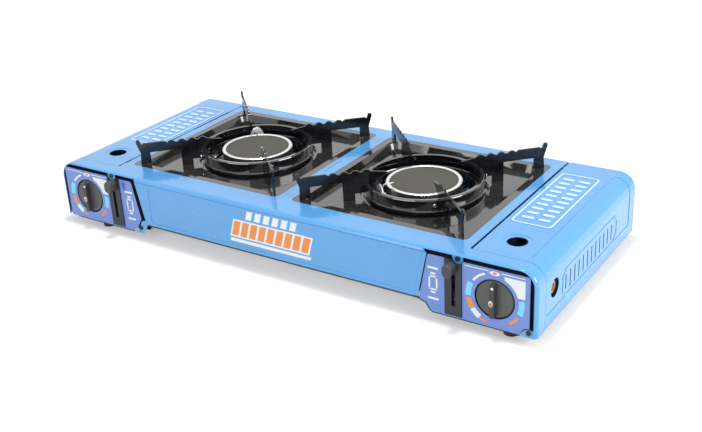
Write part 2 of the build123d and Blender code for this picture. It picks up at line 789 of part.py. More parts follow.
for side_name, side in sides.items():
    # the knobs aren't mirrored: both open the same way round
    shift = 0 if side > 0 else -2 * knob_x
    write(Pos(shift, 0, 0) * knob.part, f"knob_{side_name}")
    write(Pos(shift, 0, 0) * valve_shaft.part, f"valve_shaft_{side_name}")

# ---------------------------------------------------------------- regulator and hose inlet
regulator_half = 16.0
regulator_low_z = knob_z - 16.0
regulator_high_z = knob_z + 17.0
cartridge_z = floor_z + seat_gap + pan_sheet + 0.2 + cartridge_r
rod_x = knob_x - regulator_half - 9.7
rod_z = cartridge_z + 1.7
rod_r = 2.0
lug_y = regulator_back_y - 12.0
lug_thickness = 4.0

with BuildPart() as regulator:
    with BuildSketch(facing_front(regulator_front_y + 2)):
        with Locations((knob_x, (regulator_low_z + regulator_high_z) / 2)):
            RectangleRounded(2 * regulator_half, regulator_high_z - regulator_low_z, 4)
    extrude(amount=-(regulator_back_y - 12 - regulator_front_y))
    with BuildSketch(facing_front(regulator_front_y)):
        with Locations((knob_x, knob_z)):
            Circle(9)
    extrude(amount=-8)
    # socket that the cartridge's collar is drawn into
    with BuildSketch(facing_front(regulator_back_y - 12)):
        with Locations((knob_x, cartridge_z)):
            Circle(18.8)
    extrude(amount=-12)
    with BuildSketch(facing_front(regulator_back_y - 9)):
        with Locations((knob_x, cartridge_z)):
            Circle(17.2)
            Circle(4.5, mode=Mode.SUBTRACT)
    extrude(amount=-9.5, mode=Mode.SUBTRACT)
    # shaft bore
    with BuildSketch(facing_front(regulator_front_y - 1)):
        with Locations((knob_x, knob_z)):
            Circle(shaft_r + pin_gap)
    extrude(amount=-(shaft_back_y - regulator_front_y + 1.5), mode=Mode.SUBTRACT)
    # foot down to the base pan
    with BuildSketch(Plane.XY.offset(floor_z + seat_gap)):
        with Locations((knob_x, regulator_front_y + 16)):
            Rectangle(22, 12)
    extrude(amount=regulator_low_z - floor_z + 2)
    # side boss of the hose inlet, and the lug that guides the yoke's rod
    with BuildSketch(facing_right(knob_x)):
        with Locations((port_y, port_z)):
            Circle(7)
    extrude(amount=regulator_half + 6)
    with BuildSketch(facing_front(lug_y)):
        with Locations(((rod_x - 5 + knob_x - regulator_half) / 2, rod_z)):
            Rectangle(knob_x - regulator_half - rod_x + 5.2, 10)
        with Locations((rod_x, rod_z)):
            Circle(rod_r + pin_gap, mode=Mode.SUBTRACT)
    extrude(amount=-lug_thickness)
write_pair(regulator.part, "regulator")

inlet_start_x = knob_x + regulator_half + 6.0
with BuildPart() as hose_inlet:
    with BuildSketch(facing_right(inlet_start_x)):
        with Locations((port_y, port_z)):
            RegularPolygon(7.5, 6)
    extrude(amount=6)
    with BuildSketch(facing_right(inlet_start_x + 6)):
        with Locations((port_y, port_z)):
            Circle(4.4)
    extrude(amount=half_length - sheet - 5.0 - inlet_start_x - 6)
    for step in range(3):
        with BuildSketch(facing_right(inlet_start_x + 8 + 4 * step)):
            with Locations((port_y, port_z)):
                Circle(5.6)
        extrude(amount=3.0, taper=14)
    with BuildSketch(facing_right(inlet_start_x + 2)):
        with Locations((port_y, port_z)):
            Circle(2.4)
    extrude(amount=30, mode=Mode.SUBTRACT)
write_pair(hose_inlet.part, "hose_inlet")

# ---------------------------------------------------------------- lock lever and cartridge yoke
cam_x = bulkhead_x + pan_sheet + 0.5
cam_sheet = 1.2
cam_pin_r = 2.0
cam_pin_y = front_y + 35.0
cam_pin_z = lever_z - 21.9
cam_top_z = deck_under - 0.5
cam_low_z = cam_pin_z - cam_pin_r - 2.0
cam_back_y = cam_pin_y + 6.0
cam_slot_half = cam_pin_r + 0.08
inner_plate_y = panel_back_y + 0.3
lever_plate_low_z = lever_z - 18.5

with BuildPart() as lock_lever:
    # oval button in front of the guide
    with BuildSketch(facing_front(guide_front_y - slide_gap)):
        with Locations((lever_x - lever_button_inset, lever_z)):
            RectangleRounded(*lever_button, 5.2)
    extrude(amount=guide_front_y - slide_gap - reach_y)
    fillet(lock_lever.faces().sort_by(Axis.Y)[0].edges(), 1.5)
    # neck and tongue that run in the slot
    with BuildSketch(facing_front(guide_front_y - slide_gap - 0.2)):
        with Locations((lever_x, lever_z)):
            Rectangle(slot_width - 0.8, 8)
    extrude(amount=-(inner_plate_y + cam_sheet - guide_front_y + slide_gap + 0.2))
    with BuildSketch(facing_front(front_y + 4.0)):
        with Locations((lever_x, lever_z - 4.25)):
            Rectangle(slot_width - 0.8, 16.5)
    extrude(amount=-(inner_plate_y + cam_sheet - front_y - 4.0))
    # plate behind the panel, turned back into the cam plate
    with BuildSketch(facing_front(inner_plate_y)):
        with Locations(((lever_x - 6 + cam_x + cam_sheet) / 2, (lever_plate_low_z + cam_top_z) / 2)):
            Rectangle(cam_x + cam_sheet - lever_x + 6, cam_top_z - lever_plate_low_z)
    extrude(amount=-cam_sheet)
    with BuildSketch(facing_right(cam_x)):
        with Locations(((inner_plate_y + cam_back_y) / 2, (cam_low_z + cam_top_z) / 2)):
            Rectangle(cam_back_y - inner_plate_y, cam_top_z - cam_low_z)
        # sloping slot: the yoke's pin moves forward as the lever goes down
        with BuildLine():
            half = cam_slot_half * sqrt(1 + yoke_ratio**2)
            spare = cam_pin_r + 0.4
            low, high = cam_pin_z - spare, cam_pin_z + lever_travel + spare
            low_y, high_y = cam_pin_y + spare * yoke_ratio, cam_pin_y - (lever_travel + spare) * yoke_ratio
            Polyline(
                (low_y - half, low),
                (low_y + half, low),
                (high_y + half, high),
                (high_y - half, high),
                close=True,
            )
        make_face(mode=Mode.SUBTRACT)
    extrude(amount=cam_sheet)
write_pair(lock_lever.part, "lock_lever")

yoke_plate_x = bulkhead_x + bay_gap
yoke_sheet = 2.0
hook_y = front_y + 63.0
hook_low_z = cartridge_z - 6.8
hook_high_z = cartridge_z + 9.2
with BuildPart() as lock_yoke:
    with BuildSketch(facing_right(yoke_plate_x)):
        with Locations(((cam_pin_y - 6 + hook_y + yoke_sheet) / 2, (hook_low_z + hook_high_z) / 2)):
            Rectangle(hook_y + yoke_sheet - cam_pin_y + 6, hook_high_z - hook_low_z)
    extrude(amount=yoke_sheet)
    with BuildSketch(facing_right(bulkhead_outer_x + 0.4)):
        with Locations((cam_pin_y, cam_pin_z)):
            Circle(cam_pin_r)
    extrude(amount=yoke_plate_x - bulkhead_outer_x)
    # hook that reaches behind the cartridge's collar
    with BuildSketch(facing_front(hook_y)):
        with Locations(((yoke_plate_x + knob_x - 14) / 2, (hook_low_z + hook_high_z) / 2)):
            Rectangle(knob_x - 14 - yoke_plate_x, hook_high_z - hook_low_z)
        with Locations((knob_x, cartridge_z)):
            Circle(17.5, mode=Mode.SUBTRACT)
    extrude(amount=-yoke_sheet)
    # guide rod through the regulator's lug
    with BuildSketch(facing_front(hook_y + 0.5)):
        with Locations((rod_x, rod_z)):
            Circle(rod_r)
    extrude(amount=hook_y + 0.5 - lug_y + 14)
write_pair(lock_yoke.part, "lock_yoke")

spring_r = 3.4
spring_wire_r = 0.45
spring_turns = 5
spring_start = lug_y + lug_thickness + spring_wire_r + 0.1
spring_length = hook_y - spring_wire_r - 0.1 - spring_start
with BuildPart() as yoke_spring:
    with BuildLine() as coil:
        Helix(
            spring_length / spring_turns,
            spring_length,
            spring_r,
            center=(rod_x, spring_start, rod_z),
            direction=(0, 1, 0),
        )
    with BuildSketch(Plane(origin=coil.line @ 0, z_dir=coil.line % 0)):
        Circle(spring_wire_r)
    sweep(path=coil.line, is_frenet=True)
write_pair(yoke_spring.part, "yoke_spring")

# ---------------------------------------------------------------- cartridge cradle
cradle_front_y = front_y + 76.0
cradle_back_y = hook_y + 6.0 + cartridge_length + yoke_travel
cradle_middle_y = (cradle_front_y + cradle_back_y) / 2
fence_height = 20.0
with BuildPart() as cradle:
    with BuildSketch(Plane.XY.offset(floor_z + seat_gap)):
        with Locations((knob_x, cradle_middle_y)):
            Rectangle(2 * (cradle_half + pan_sheet), cradle_back_y - cradle_front_y)
            with GridLocations(1, 48, 1, 3):
                SlotOverall(30, 16, mode=Mode.SUBTRACT)
    extrude(amount=pan_sheet)
    with BuildSketch(Plane.XY.offset(floor_z + seat_gap)):
        for side in sides.values():
            with Locations((knob_x + side * (cradle_half + pan_sheet / 2), cradle_middle_y)):
                Rectangle(pan_sheet, cradle_back_y - cradle_front_y)
        with Locations((knob_x, cradle_back_y - pan_sheet / 2)):
            Rectangle(2 * cradle_half, pan_sheet)
    extrude(amount=fence_height)
write_pair(cradle.part, "cartridge_cradle")

# ---------------------------------------------------------------- gas pipe, jet and mixing tube
pipe_r = 3.0
jet_x = bulkhead_x - 12.0
jet_half = 7.0
pipe_points = [
    (knob_x - regulator_half + 0.2, pipe_y, pipe_low_z),
    (jet_x, pipe_y, pipe_low_z),
    (jet_x, burner_y - 51.2, tube_z),
    (jet_x, burner_y - jet_half, tube_z),
]
with BuildPart() as gas_pipe:
    with BuildLine() as pipe_route:
        FilletPolyline(*pipe_points, radius=14)
    with BuildSketch(Plane(origin=pipe_points[0], z_dir=(-1, 0, 0))):
        Circle(pipe_r)
    sweep(path=pipe_route.line)
write_pair(gas_pipe.part, "gas_pipe")

jet_tip_x = jet_x - 13.0
with BuildPart() as gas_jet:
    with BuildSketch(facing_right(jet_x - jet_half)):
        with Locations((burner_y, tube_z)):
            RectangleRounded(2 * jet_half, 2 * jet_half, 2)
    extrude(amount=bulkhead_x - seat_gap - jet_x + jet_half)
    with BuildSketch(facing_right(jet_x - jet_half)):
        with Locations((burner_y, tube_z)):
            RegularPolygon(5, 6)
    extrude(amount=-3)
    with BuildSketch(facing_right(jet_x - jet_half - 3)):
        with Locations((burner_y, tube_z)):
            Circle(3.6)
    extrude(amount=-(jet_x - jet_half - 3 - jet_tip_x), taper=12)
write_pair(gas_jet.part, "gas_jet")

mouth_x = jet_tip_x - 4.0
tube_end_x = burner_x - tube_r - 3.0
outlet_r = 12.0
with BuildPart() as mixing_tube:
    with BuildSketch(facing_right(tube_end_x)):
        with Locations((burner_y, tube_z)):
            Circle(tube_r)
    extrude(amount=mouth_x - 10 - tube_end_x)
    # flared mouth that takes in air round the jet
    with BuildSketch(facing_right(mouth_x - 10)):
        with Locations((burner_y, tube_z)):
            Circle(tube_r)
    with BuildSketch(facing_right(mouth_x)):
        with Locations((burner_y, tube_z)):
            Circle(tube_r + 3)
    loft()
    with BuildSketch(Plane.XY.offset(tube_z)):
        with Locations((burner_x, burner_y)):
            Circle(outlet_r)
    extrude(amount=cup_bottom_z - tube_z)
    # feet down to the base pan
    for x in (burner_x, burner_x + 62.0):
        with BuildSketch(Plane.XY.offset(middle_z + pan_sheet + seat_gap)):
            with Locations((x, burner_y)):
                Rectangle(2.0, 30)
        extrude(amount=tube_z - middle_z - pan_sheet - seat_gap)
        with BuildSketch(Plane.XY.offset(middle_z + pan_sheet + seat_gap)):
            with Locations((x, burner_y)):
                Rectangle(14, 30)
        extrude(amount=1.6)
    # the gas passage
    with BuildSketch(facing_right(tube_end_x + tube_wall)):
        with Locations((burner_y, tube_z)):
            Circle(tube_r - tube_wall)
    extrude(amount=mouth_x - 10 - tube_end_x, mode=Mode.SUBTRACT)
    with BuildSketch(facing_right(mouth_x - 10)):
        with Locations((burner_y, tube_z)):
            Circle(tube_r - tube_wall)
    with BuildSketch(facing_right(mouth_x)):
        with Locations((burner_y, tube_z)):
            Circle(tube_r + 3 - tube_wall)
    loft(mode=Mode.SUBTRACT)
    with BuildSketch(Plane.XY.offset(tube_z)):
        with Locations((burner_x, burner_y)):
            Circle(outlet_r - tube_wall)
    extrude(amount=cup_bottom_z - tube_z + 1, mode=Mode.SUBTRACT)
write_pair(mixing_tube.part, "mixing_tube")

# ---------------------------------------------------------------- burner: cup, ceramic plate, clamp ring
plate_top_z = cup_top_z + 0.5
plate_seat_z = plate_top_z - plate_thickness - 0.1


def turned(points):
    """Turn a closed outline of (radius, height) points round a burner's axis."""
    with BuildPart() as body:
        with BuildSketch(Plane(origin=(burner_x, burner_y, 0), x_dir=(1, 0, 0), z_dir=(0, -1, 0))):
            with BuildLine():
                Polyline(*points, close=True)
            make_face()
        revolve(axis=Axis((burner_x, burner_y, 0), (0, 0, 1)))
    return body.part


burner_cup = turned(
    [
        (outlet_r - tube_wall, cup_bottom_z),
        (cup_r - 6, cup_bottom_z),
        (cup_r, cup_bottom_z + 5),
        (cup_r, cup_top_z),
        (cup_r - cup_wall, cup_top_z),
        (cup_r - cup_wall, plate_seat_z),
        (cup_r - cup_wall - 4, plate_seat_z),
        (cup_r - cup_wall - 4, plate_seat_z - cup_wall),
        (cup_r - cup_wall, plate_seat_z - cup_wall),
        (cup_r - cup_wall, cup_bottom_z + 5.5),
        (cup_r - 6.5, cup_bottom_z + cup_wall),
        (outlet_r - tube_wall, cup_bottom_z + cup_wall),
    ]
)
write_pair(burner_cup, "burner_cup")

with BuildPart() as ceramic_plate:
    with BuildSketch(Plane.XY.offset(plate_seat_z + 0.1)):
        with Locations((burner_x, burner_y)):
            Circle(plate_r)
    extrude(amount=plate_thickness)
write_pair(ceramic_plate.part, "ceramic_plate")

clamp_ring = turned(
    [
        (clamp_opening_r, plate_top_z + 0.1),
        (clamp_opening_r, plate_top_z + 0.7),
        (clamp_opening_r + 1.2, plate_top_z + 1.3),
        (clamp_r - 1.2, plate_top_z + 1.3),
        (clamp_r, plate_top_z + 0.5),
        (clamp_r, cup_top_z - 7),
        (clamp_r - clamp_wall, cup_top_z - 7),
        (clamp_r - clamp_wall, plate_top_z + 0.1),
    ]
)
write_pair(clamp_ring, "clamp_ring")

# ---------------------------------------------------------------- igniter: electrode, insulator, hood
insulator_r = 3.2
insulator_low_z = top_z - 22.0
insulator_high_z = top_z - 2.0
electrode_r = 0.8
electrode_high_z = top_z + 8.5
electrode_reach = 13.0
hood_half = 10.0
hood_low_z = top_z - 9.0
hood_rise = 9.0
hood_r = 55.6
bracket_low_z = middle_z + pan_sheet + seat_gap


def igniter_point(side_name, r=igniter_r):
    """Plan position of an igniter at distance r from its burner's axis."""
    a = radians(igniter_angles[side_name])
    return sides[side_name] * burner_x + r * cos(a), burner_y + r * sin(a)


for side_name, side in sides.items():
    center_x = side * burner_x
    upright = radial_plane(center_x, igniter_angles[side_name])
    x, y = igniter_point(side_name)

    with BuildPart() as insulator:
        with BuildSketch(Plane.XY.offset(insulator_low_z)):
            with Locations((x, y)):
                Circle(insulator_r)
        extrude(amount=insulator_high_z - insulator_low_z)
        chamfer(insulator.edges().group_by(Axis.Z)[-1], 0.8)
        with BuildSketch(Plane.XY.offset(insulator_low_z)):
            with Locations((x, y)):
                Circle(electrode_r + pin_gap)
        extrude(amount=insulator_high_z - insulator_low_z, mode=Mode.SUBTRACT)
    write(insulator.part, f"insulator_{side_name}")

    # rod with its tip bent over the plate
    with BuildPart() as electrode:
        with BuildLine() as bent:
            FilletPolyline(
                upright.from_local_coords((igniter_r, insulator_low_z, 0)),
                upright.from_local_coords((igniter_r, electrode_high_z, 0)),
                upright.from_local_coords((igniter_r - electrode_reach, electrode_high_z, 0)),
                radius=2.5,
            )
        with BuildSketch(Plane.XY.offset(insulator_low_z)):
            with Locations((x, y)):
                Circle(electrode_r)
        sweep(path=bent.line)
    write(electrode.part, f"electrode_{side_name}")

    # bright hood on a bracket that stands on the base pan and carries the insulator
    with BuildPart() as hood:
        with BuildSketch(facing_out(center_x, igniter_angles[side_name], hood_r)):
            with Locations((0, hood_low_z)):
                Ellipse(hood_half, hood_rise + 10)
            with Locations((0, hood_low_z + 20)):
                Rectangle(40, 40, mode=Mode.INTERSECT)
            with Locations((0, (bracket_low_z + hood_low_z) / 2)):
                Rectangle(8, hood_low_z - bracket_low_z + 0.4)
            with Locations((3.2, hood_low_z + 8)):
                SlotOverall(7, 2.4, rotation=90, mode=Mode.SUBTRACT)
        extrude(amount=1.0)
        with BuildSketch(Plane.XY.offset(insulator_low_z + 6)):
            with Locations((x, y)):
                Circle(insulator_r + 1.6)
            with Locations(igniter_point(side_name, (igniter_r + hood_r + 0.6) / 2)):
                Rectangle(hood_r + 0.6 - igniter_r, 7, rotation=igniter_angles[side_name])
            with Locations((x, y)):
                Circle(insulator_r + pin_gap, mode=Mode.SUBTRACT)
        extrude(amount=1.5)
    write(hood.part, f"igniter_hood_{side_name}")

# ---------------------------------------------------------------- piezo igniter and its lead
piezo_half = 7.0
piezo_low_z = regulator_high_z + seat_gap
piezo_high_z = piezo_low_z + 11.0
piezo_front_y = regulator_front_y + 3.0
piezo_back_y = regulator_back_y - 13.0
with BuildPart() as piezo:
    with BuildSketch(facing_front(piezo_front_y)):
        with Locations((knob_x, (piezo_low_z + piezo_high_z) / 2)):
            RectangleRounded(2 * piezo_half, piezo_high_z - piezo_low_z, 2.5)
    extrude(amount=-(piezo_back_y - piezo_front_y))
write_pair(piezo.part, "piezo_igniter")

lead_under_z = tube_z - 16.0
for side_name, side in sides.items():
    x, y = igniter_point(side_name)
    if side_name == "right":
        under = [(side * (bulkhead_x - 21), lead_y + 12, 52.0), (x + 26.0, y - 10.0, 45.0)]
    else:
        # passes under the mixing tube to the back of the burner
        under = [
            (side * (bulkhead_x - 25), lead_y + 20, lead_under_z),
            (side * (burner_x + 67.7), burner_y + 28.8, lead_under_z),
        ]
    route = [
        (side * knob_x, piezo_back_y, lead_z),
        (side * knob_x, lead_y, lead_z),
        (side * (bulkhead_x - 8), lead_y, lead_z),
        *under,
        (x, y, 45.0),
        (x, y, insulator_low_z),
    ]
    with BuildPart() as lead:
        with BuildLine() as lead_route:
            FilletPolyline(*route, radius=4.5)
        with BuildSketch(facing_front(piezo_back_y)):
            with Locations((side * knob_x, lead_z)):
                Circle(lead_r)
        sweep(path=lead_route.line)
    write(lead.part, f"ignition_lead_{side_name}")

# ---------------------------------------------------------------- drip tray
tray_outer = tray_size - 0.6
tray_inner = tray_size - 2 * tray_rim
tray_rim_z = ledge_z + seat_gap
basin_drop = tray_rim_z + tray_sheet - tray_floor_z
basin_corner = 14.0
wall_slope = 22.0


def basin(shrink, lift):
    """Tapered solid of the basin, moved in and up for the inside face."""
    with BuildPart() as solid:
        with BuildSketch(Plane.XY.offset(tray_rim_z + tray_sheet)):
            with Locations((burner_x, burner_y)):
                RectangleRounded(tray_inner - 2 * shrink, tray_inner - 2 * shrink, basin_corner - shrink)
        extrude(amount=-(basin_drop + tray_sheet - lift), taper=wall_slope)
        with BuildSketch(Plane.XY.offset(tray_floor_z + 0.01)):
            with Locations((burner_x, burner_y)):
                Circle(tray_well_r + tray_sheet - shrink)
        extrude(amount=-(tray_well_depth + tray_sheet - lift + 0.01), taper=wall_slope)
    return solid.part


with BuildPart() as drip_tray:
    with BuildSketch(Plane.XY.offset(tray_rim_z)):
        with Locations((burner_x, burner_y)):
            RectangleRounded(tray_outer, tray_outer, tray_corner)
    extrude(amount=tray_sheet)
    add(basin(0, 0))
    add(basin(tray_sheet, tray_sheet), mode=Mode.SUBTRACT)
    # opening for the burner, with an upturned collar
    with BuildSketch(Plane.XY.offset(tray_floor_z - tray_well_depth - tray_sheet)):
        with Locations((burner_x, burner_y)):
            Circle(tray_hole_r + tray_sheet)
    extrude(amount=tray_collar + tray_sheet)
    with BuildSketch(Plane.XY.offset(tray_floor_z - tray_well_depth - 5)):
        with Locations((burner_x, burner_y)):
            Circle(tray_hole_r)
    extrude(amount=tray_collar + 10, mode=Mode.SUBTRACT)
write_pair(drip_tray.part, "drip_tray")

# ---------------------------------------------------------------- pan support: ring, four arms, rivets
ring_low_z = tray_floor_z - tray_well_depth + 0.3
ring_inner_r = ring_r - ring_wall
bead_z = ring_top_z - ring_bead_drop
windshield_ring = turned(
    [
        (ring_inner_r, ring_low_z),
        (ring_r + ring_bead, ring_low_z),
        (ring_r + ring_bead, ring_low_z + 0.8),
        (ring_r, ring_low_z + 1.4),
        (ring_r, bead_z - 1.8),
        (ring_r + ring_bead * 0.7, bead_z - 1.0),
        (ring_r + ring_bead, bead_z),
        (ring_r + ring_bead * 0.7, bead_z + 1.0),
        (ring_r, bead_z + 1.8),
        (ring_r, ring_top_z - 1.4),
        (ring_r - 0.4, ring_top_z - 0.4),
        (ring_r - 1.4, ring_top_z),
        (ring_r - ring_lip, ring_top_z - 0.4),
        (ring_r - ring_lip, ring_top_z - 1.3),
        (ring_inner_r, ring_top_z - 1.5),
        (ring_inner_r, bead_z + 1.8),
        (ring_inner_r + ring_bead * 0.7, bead_z + 0.7),
        (ring_inner_r + ring_bead * 0.7, bead_z - 0.7),
        (ring_inner_r, bead_z - 1.8),
    ]
)
arm_angles = (45, 135, 225, 315)
tab_width = 12.0
tab_height = 9.0
tab_sheet = 1.5
tab_r = ring_r + 0.3
rivet_r = 1.5
rivet_z = ring_top_z - 6.0
rivet_offset = -8.0
arm_inner_r = 45.0
leg_inner = (83.0, 97.0)
leg_outer = (135.0, 148.0)
horn_r = 150.0
leg_low_z = tray_floor_z + 0.3
rim_rest_z = tray_rim_z + tray_sheet + 0.3
arm_under_z = top_z + arm_under
arm_teeth_z = top_z + arm_top
flat_z = top_z + arm_flat


def arm_outline():
    """Toothed arm seen from the side: distance from the burner's axis against height."""
    with BuildSketch() as outline:
        with BuildLine():
            Line((arm_inner_r, arm_teeth_z - 3.0), (tooth_first_r - tooth_half, arm_teeth_z))
            for n in range(tooth_count):
                r = tooth_first_r + n * tooth_pitch
                ThreePointArc(
                    (r - tooth_half, arm_teeth_z),
                    (r, arm_teeth_z + tooth_height),
                    (r + tooth_half, arm_teeth_z),
                )
                if n < tooth_count - 1:
                    Line((r + tooth_half, arm_teeth_z), (r + tooth_pitch - tooth_half, arm_teeth_z))
            last = tooth_first_r + (tooth_count - 1) * tooth_pitch + tooth_half
            Polyline(
                (last, arm_teeth_z),
                (last + 3.5, flat_z),
                (horn_r - 8, flat_z),
                (horn_r - 5, flat_z - 1.5),
                (horn_r - 3, top_z + horn_top),
                (horn_r + 1, top_z + horn_top),
                (horn_r + 1.5, top_z + horn_top - 3),
                (leg_outer[1] - 1, arm_under_z),
                (leg_outer[1], rim_rest_z),
                (leg_outer[0], rim_rest_z),
                (leg_outer[0], arm_under_z),
                (leg_inner[1], arm_under_z),
                (leg_inner[1], leg_low_z),
                (leg_inner[0], leg_low_z),
                (leg_inner[0], ring_top_z),
                (ring_r - ring_lip - 2, ring_top_z),
                (arm_inner_r, arm_teeth_z - 3.0),
            )
        make_face()
    return outline.sketch


with BuildPart() as pan_arms:
    for angle in arm_angles:
        upright = radial_plane(burner_x, angle)
        with BuildSketch(upright):
            add(arm_outline())
        extrude(amount=arm_sheet / 2, both=True)
        # lug folded against the outside of the ring
        with BuildSketch(upright.offset(-arm_sheet / 2)):
            with Locations(((tab_r + leg_inner[0]) / 2, (rivet_z - tab_height / 2 + ring_top_z) / 2)):
                Rectangle(leg_inner[0] - tab_r, ring_top_z - rivet_z + tab_height / 2 + 0.4)
        extrude(amount=arm_sheet)
        with BuildSketch(facing_out(burner_x, angle, tab_r)):
            with Locations((arm_sheet / 2 - tab_width / 2, rivet_z)):
                Rectangle(tab_width, tab_height)
            with Locations((rivet_offset, rivet_z)):
                Circle(rivet_r + pin_gap, mode=Mode.SUBTRACT)
        extrude(amount=tab_sheet)

with BuildPart() as arm_rivets:
    for angle in arm_angles:
        lug = facing_out(burner_x, angle, tab_r + tab_sheet)
        with BuildSketch(lug):
            with Locations((rivet_offset, rivet_z)):
                Circle(rivet_r + 1.0)
        extrude(amount=1.2, taper=25)
        with BuildSketch(lug):
            with Locations((rivet_offset, rivet_z)):
                Circle(rivet_r)
        extrude(amount=-(tab_sheet + ring_wall + 1.6))

with BuildPart() as ring:
    add(windshield_ring)
    for angle in arm_angles:
        with BuildSketch(facing_out(burner_x, angle, tab_r + 2)):
            with Locations((rivet_offset, rivet_z)):
                Circle(rivet_r + pin_gap)
        extrude(amount=-8, mode=Mode.SUBTRACT)
write_pair(ring.part, "windshield_ring")
write_pair(pan_arms.part, "pan_arms")
write_pair(arm_rivets.part, "arm_rivets")
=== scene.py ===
# %% [markdown]
# # A two-burner cassette stove
# This lesson dresses a finished model of a portable gas stove: a low azure steel box with two black
# enamelled drip trays, two infrared burners, toothed pan supports, and a lid, a knob and a lock lever
# at each end. The shapes of the metal parts are fixed, so the work here is in three things: finishes
# made from procedural nodes, the printed marks and trims on the outside, and soft studio light. The
# front of the housing and its deck are measured first, because many places are counted from them.

# %% Load the fixed model
import json
from math import cos, radians, sin, tau
from types import SimpleNamespace

import bmesh
import bpy
from mathutils import Matrix, Vector


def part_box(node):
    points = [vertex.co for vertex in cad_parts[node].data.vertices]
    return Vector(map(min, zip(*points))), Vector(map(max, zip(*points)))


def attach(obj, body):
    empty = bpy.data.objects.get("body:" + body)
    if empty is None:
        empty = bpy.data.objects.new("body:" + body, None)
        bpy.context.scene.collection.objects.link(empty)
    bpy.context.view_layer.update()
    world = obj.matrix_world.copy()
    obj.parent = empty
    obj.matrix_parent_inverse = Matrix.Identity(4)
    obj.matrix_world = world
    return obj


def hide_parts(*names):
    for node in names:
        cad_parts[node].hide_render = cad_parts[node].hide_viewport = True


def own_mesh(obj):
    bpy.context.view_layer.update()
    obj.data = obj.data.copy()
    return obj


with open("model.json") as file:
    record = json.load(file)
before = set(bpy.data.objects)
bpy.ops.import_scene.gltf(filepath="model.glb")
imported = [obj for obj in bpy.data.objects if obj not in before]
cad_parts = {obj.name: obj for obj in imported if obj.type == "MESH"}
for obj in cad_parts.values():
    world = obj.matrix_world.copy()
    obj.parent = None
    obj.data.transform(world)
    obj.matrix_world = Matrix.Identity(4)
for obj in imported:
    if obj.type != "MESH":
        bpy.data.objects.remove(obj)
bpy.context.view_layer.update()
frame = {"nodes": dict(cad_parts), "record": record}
housing_low, housing_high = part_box("housing")
front_y, deck_z = housing_low.y, housing_high.z
both_ends = (("right", 1), ("left", -1))
print("front at y", round(front_y, 4), "and deck at z", round(deck_z, 4), "in metres")

# %% [markdown]
# ## Camera
# A camera above and to the right of the front shows the deck, the whole front and one end. It is
# turned by heading, pitch and a slight roll. Building the three axis vectors by hand keeps the
# order of those turns clear, and a matrix with them as columns is all that a camera needs.

# %% Camera
camera_place = Vector((0.68316, -0.97547, 0.57266))
heading, pitch, roll = radians(34.03), radians(24.99), radians(-3.0)
ahead = Vector((-sin(heading) * cos(pitch), cos(heading) * cos(pitch), -sin(pitch)))
level = ahead.cross(Vector((0, 0, 1))).normalized()
above = level.cross(ahead)
right = cos(roll) * level + sin(roll) * above
up = cos(roll) * above - sin(roll) * level

lens = bpy.data.cameras.new("studio_camera")
lens.lens = 54.1
lens.sensor_width = 36.0
camera = bpy.data.objects.new("studio_camera", lens)
bpy.context.scene.collection.objects.link(camera)
camera.matrix_world = Matrix.Translation(camera_place) @ Matrix((right, up, -ahead)).transposed().to_4x4()
bpy.context.scene.camera = camera
print("camera looks along", [round(v, 3) for v in ahead])

# %% [markdown]
# ## A small kit for finishes
# Every finish is one Principled shader with a few textures in front of it. What is the same all
# over, such as a coat or a specular level, is set as a number on the shader itself. Nodes are
# long-winded to make one by one, so one helper makes a node and sets or links its inputs, and
# another gives the result of a math node.

# %% Shaders and nodes
finishes = {}


def start_finish(name, colour, roughness, **sockets):
    """A new material with one Principled shader, kept by name."""
    material = bpy.data.materials.new(name)
    material.use_nodes = True
    tree = material.node_tree
    shader = tree.nodes["Principled BSDF"]
    shader.inputs["Base Color"].default_value = (*colour, 1)
    shader.inputs["Roughness"].default_value = roughness
    for socket, value in sockets.items():
        shader.inputs[socket.replace("_", " ").title().replace("Ior", "IOR")].default_value = value
    finishes[name] = material
    return SimpleNamespace(tree=tree, shader=shader)


def add_node(finish, kind, **inputs):
    """A node with its inputs set: a socket is linked in, any other value is set."""
    node = finish.tree.nodes.new(kind)
    for name, value in inputs.items():
        socket = node.inputs[name.replace("_", " ")]
        if isinstance(value, bpy.types.NodeSocket):
            finish.tree.links.new(value, socket)
        else:
            socket.default_value = value
    return node


def calculate(finish, operation, *values):
    """The result of one math node on the given sockets."""
    node = finish.tree.nodes.new("ShaderNodeMath")
    node.operation = operation
    for socket, value in zip(node.inputs, values):
        finish.tree.links.new(value, socket)
    return node.outputs[0]


print(len(finishes), "finishes so far")

# %% [markdown]
# ## Textures and masks
# All textures read Object coordinates, which are metres here, so a scale of 1000 makes a grain of
# about a millimetre. Noise seldom leaves the middle of its range, so it is that middle that gets
# spread between two levels. A mask is 0 on one side of a plane and 1 on the other, which is enough
# to find a rib, a fold or a grip by its place alone.

# %% Textures and masks
noise_low, noise_high = 0.3, 0.7


def placed(finish, stretch=(1, 1, 1)):
    """Object coordinates in metres, stretched along the axes."""
    place = add_node(finish, "ShaderNodeTexCoord").outputs["Object"]
    return add_node(finish, "ShaderNodeMapping", Vector=place, Scale=stretch).outputs["Vector"]


def noise(finish, scale, detail=2.0, stretch=(1, 1, 1)):
    """Soft noise between 0 and 1."""
    place = placed(finish, stretch)
    return add_node(finish, "ShaderNodeTexNoise", Vector=place, Scale=scale, Detail=detail).outputs[0]


def graded(finish, value, low, high):
    """The value's middle range spread between two numbers."""
    spread = add_node(finish, "ShaderNodeMapRange", Value=value, From_Min=noise_low, From_Max=noise_high,
                      To_Min=low, To_Max=high)
    return spread.outputs["Result"]


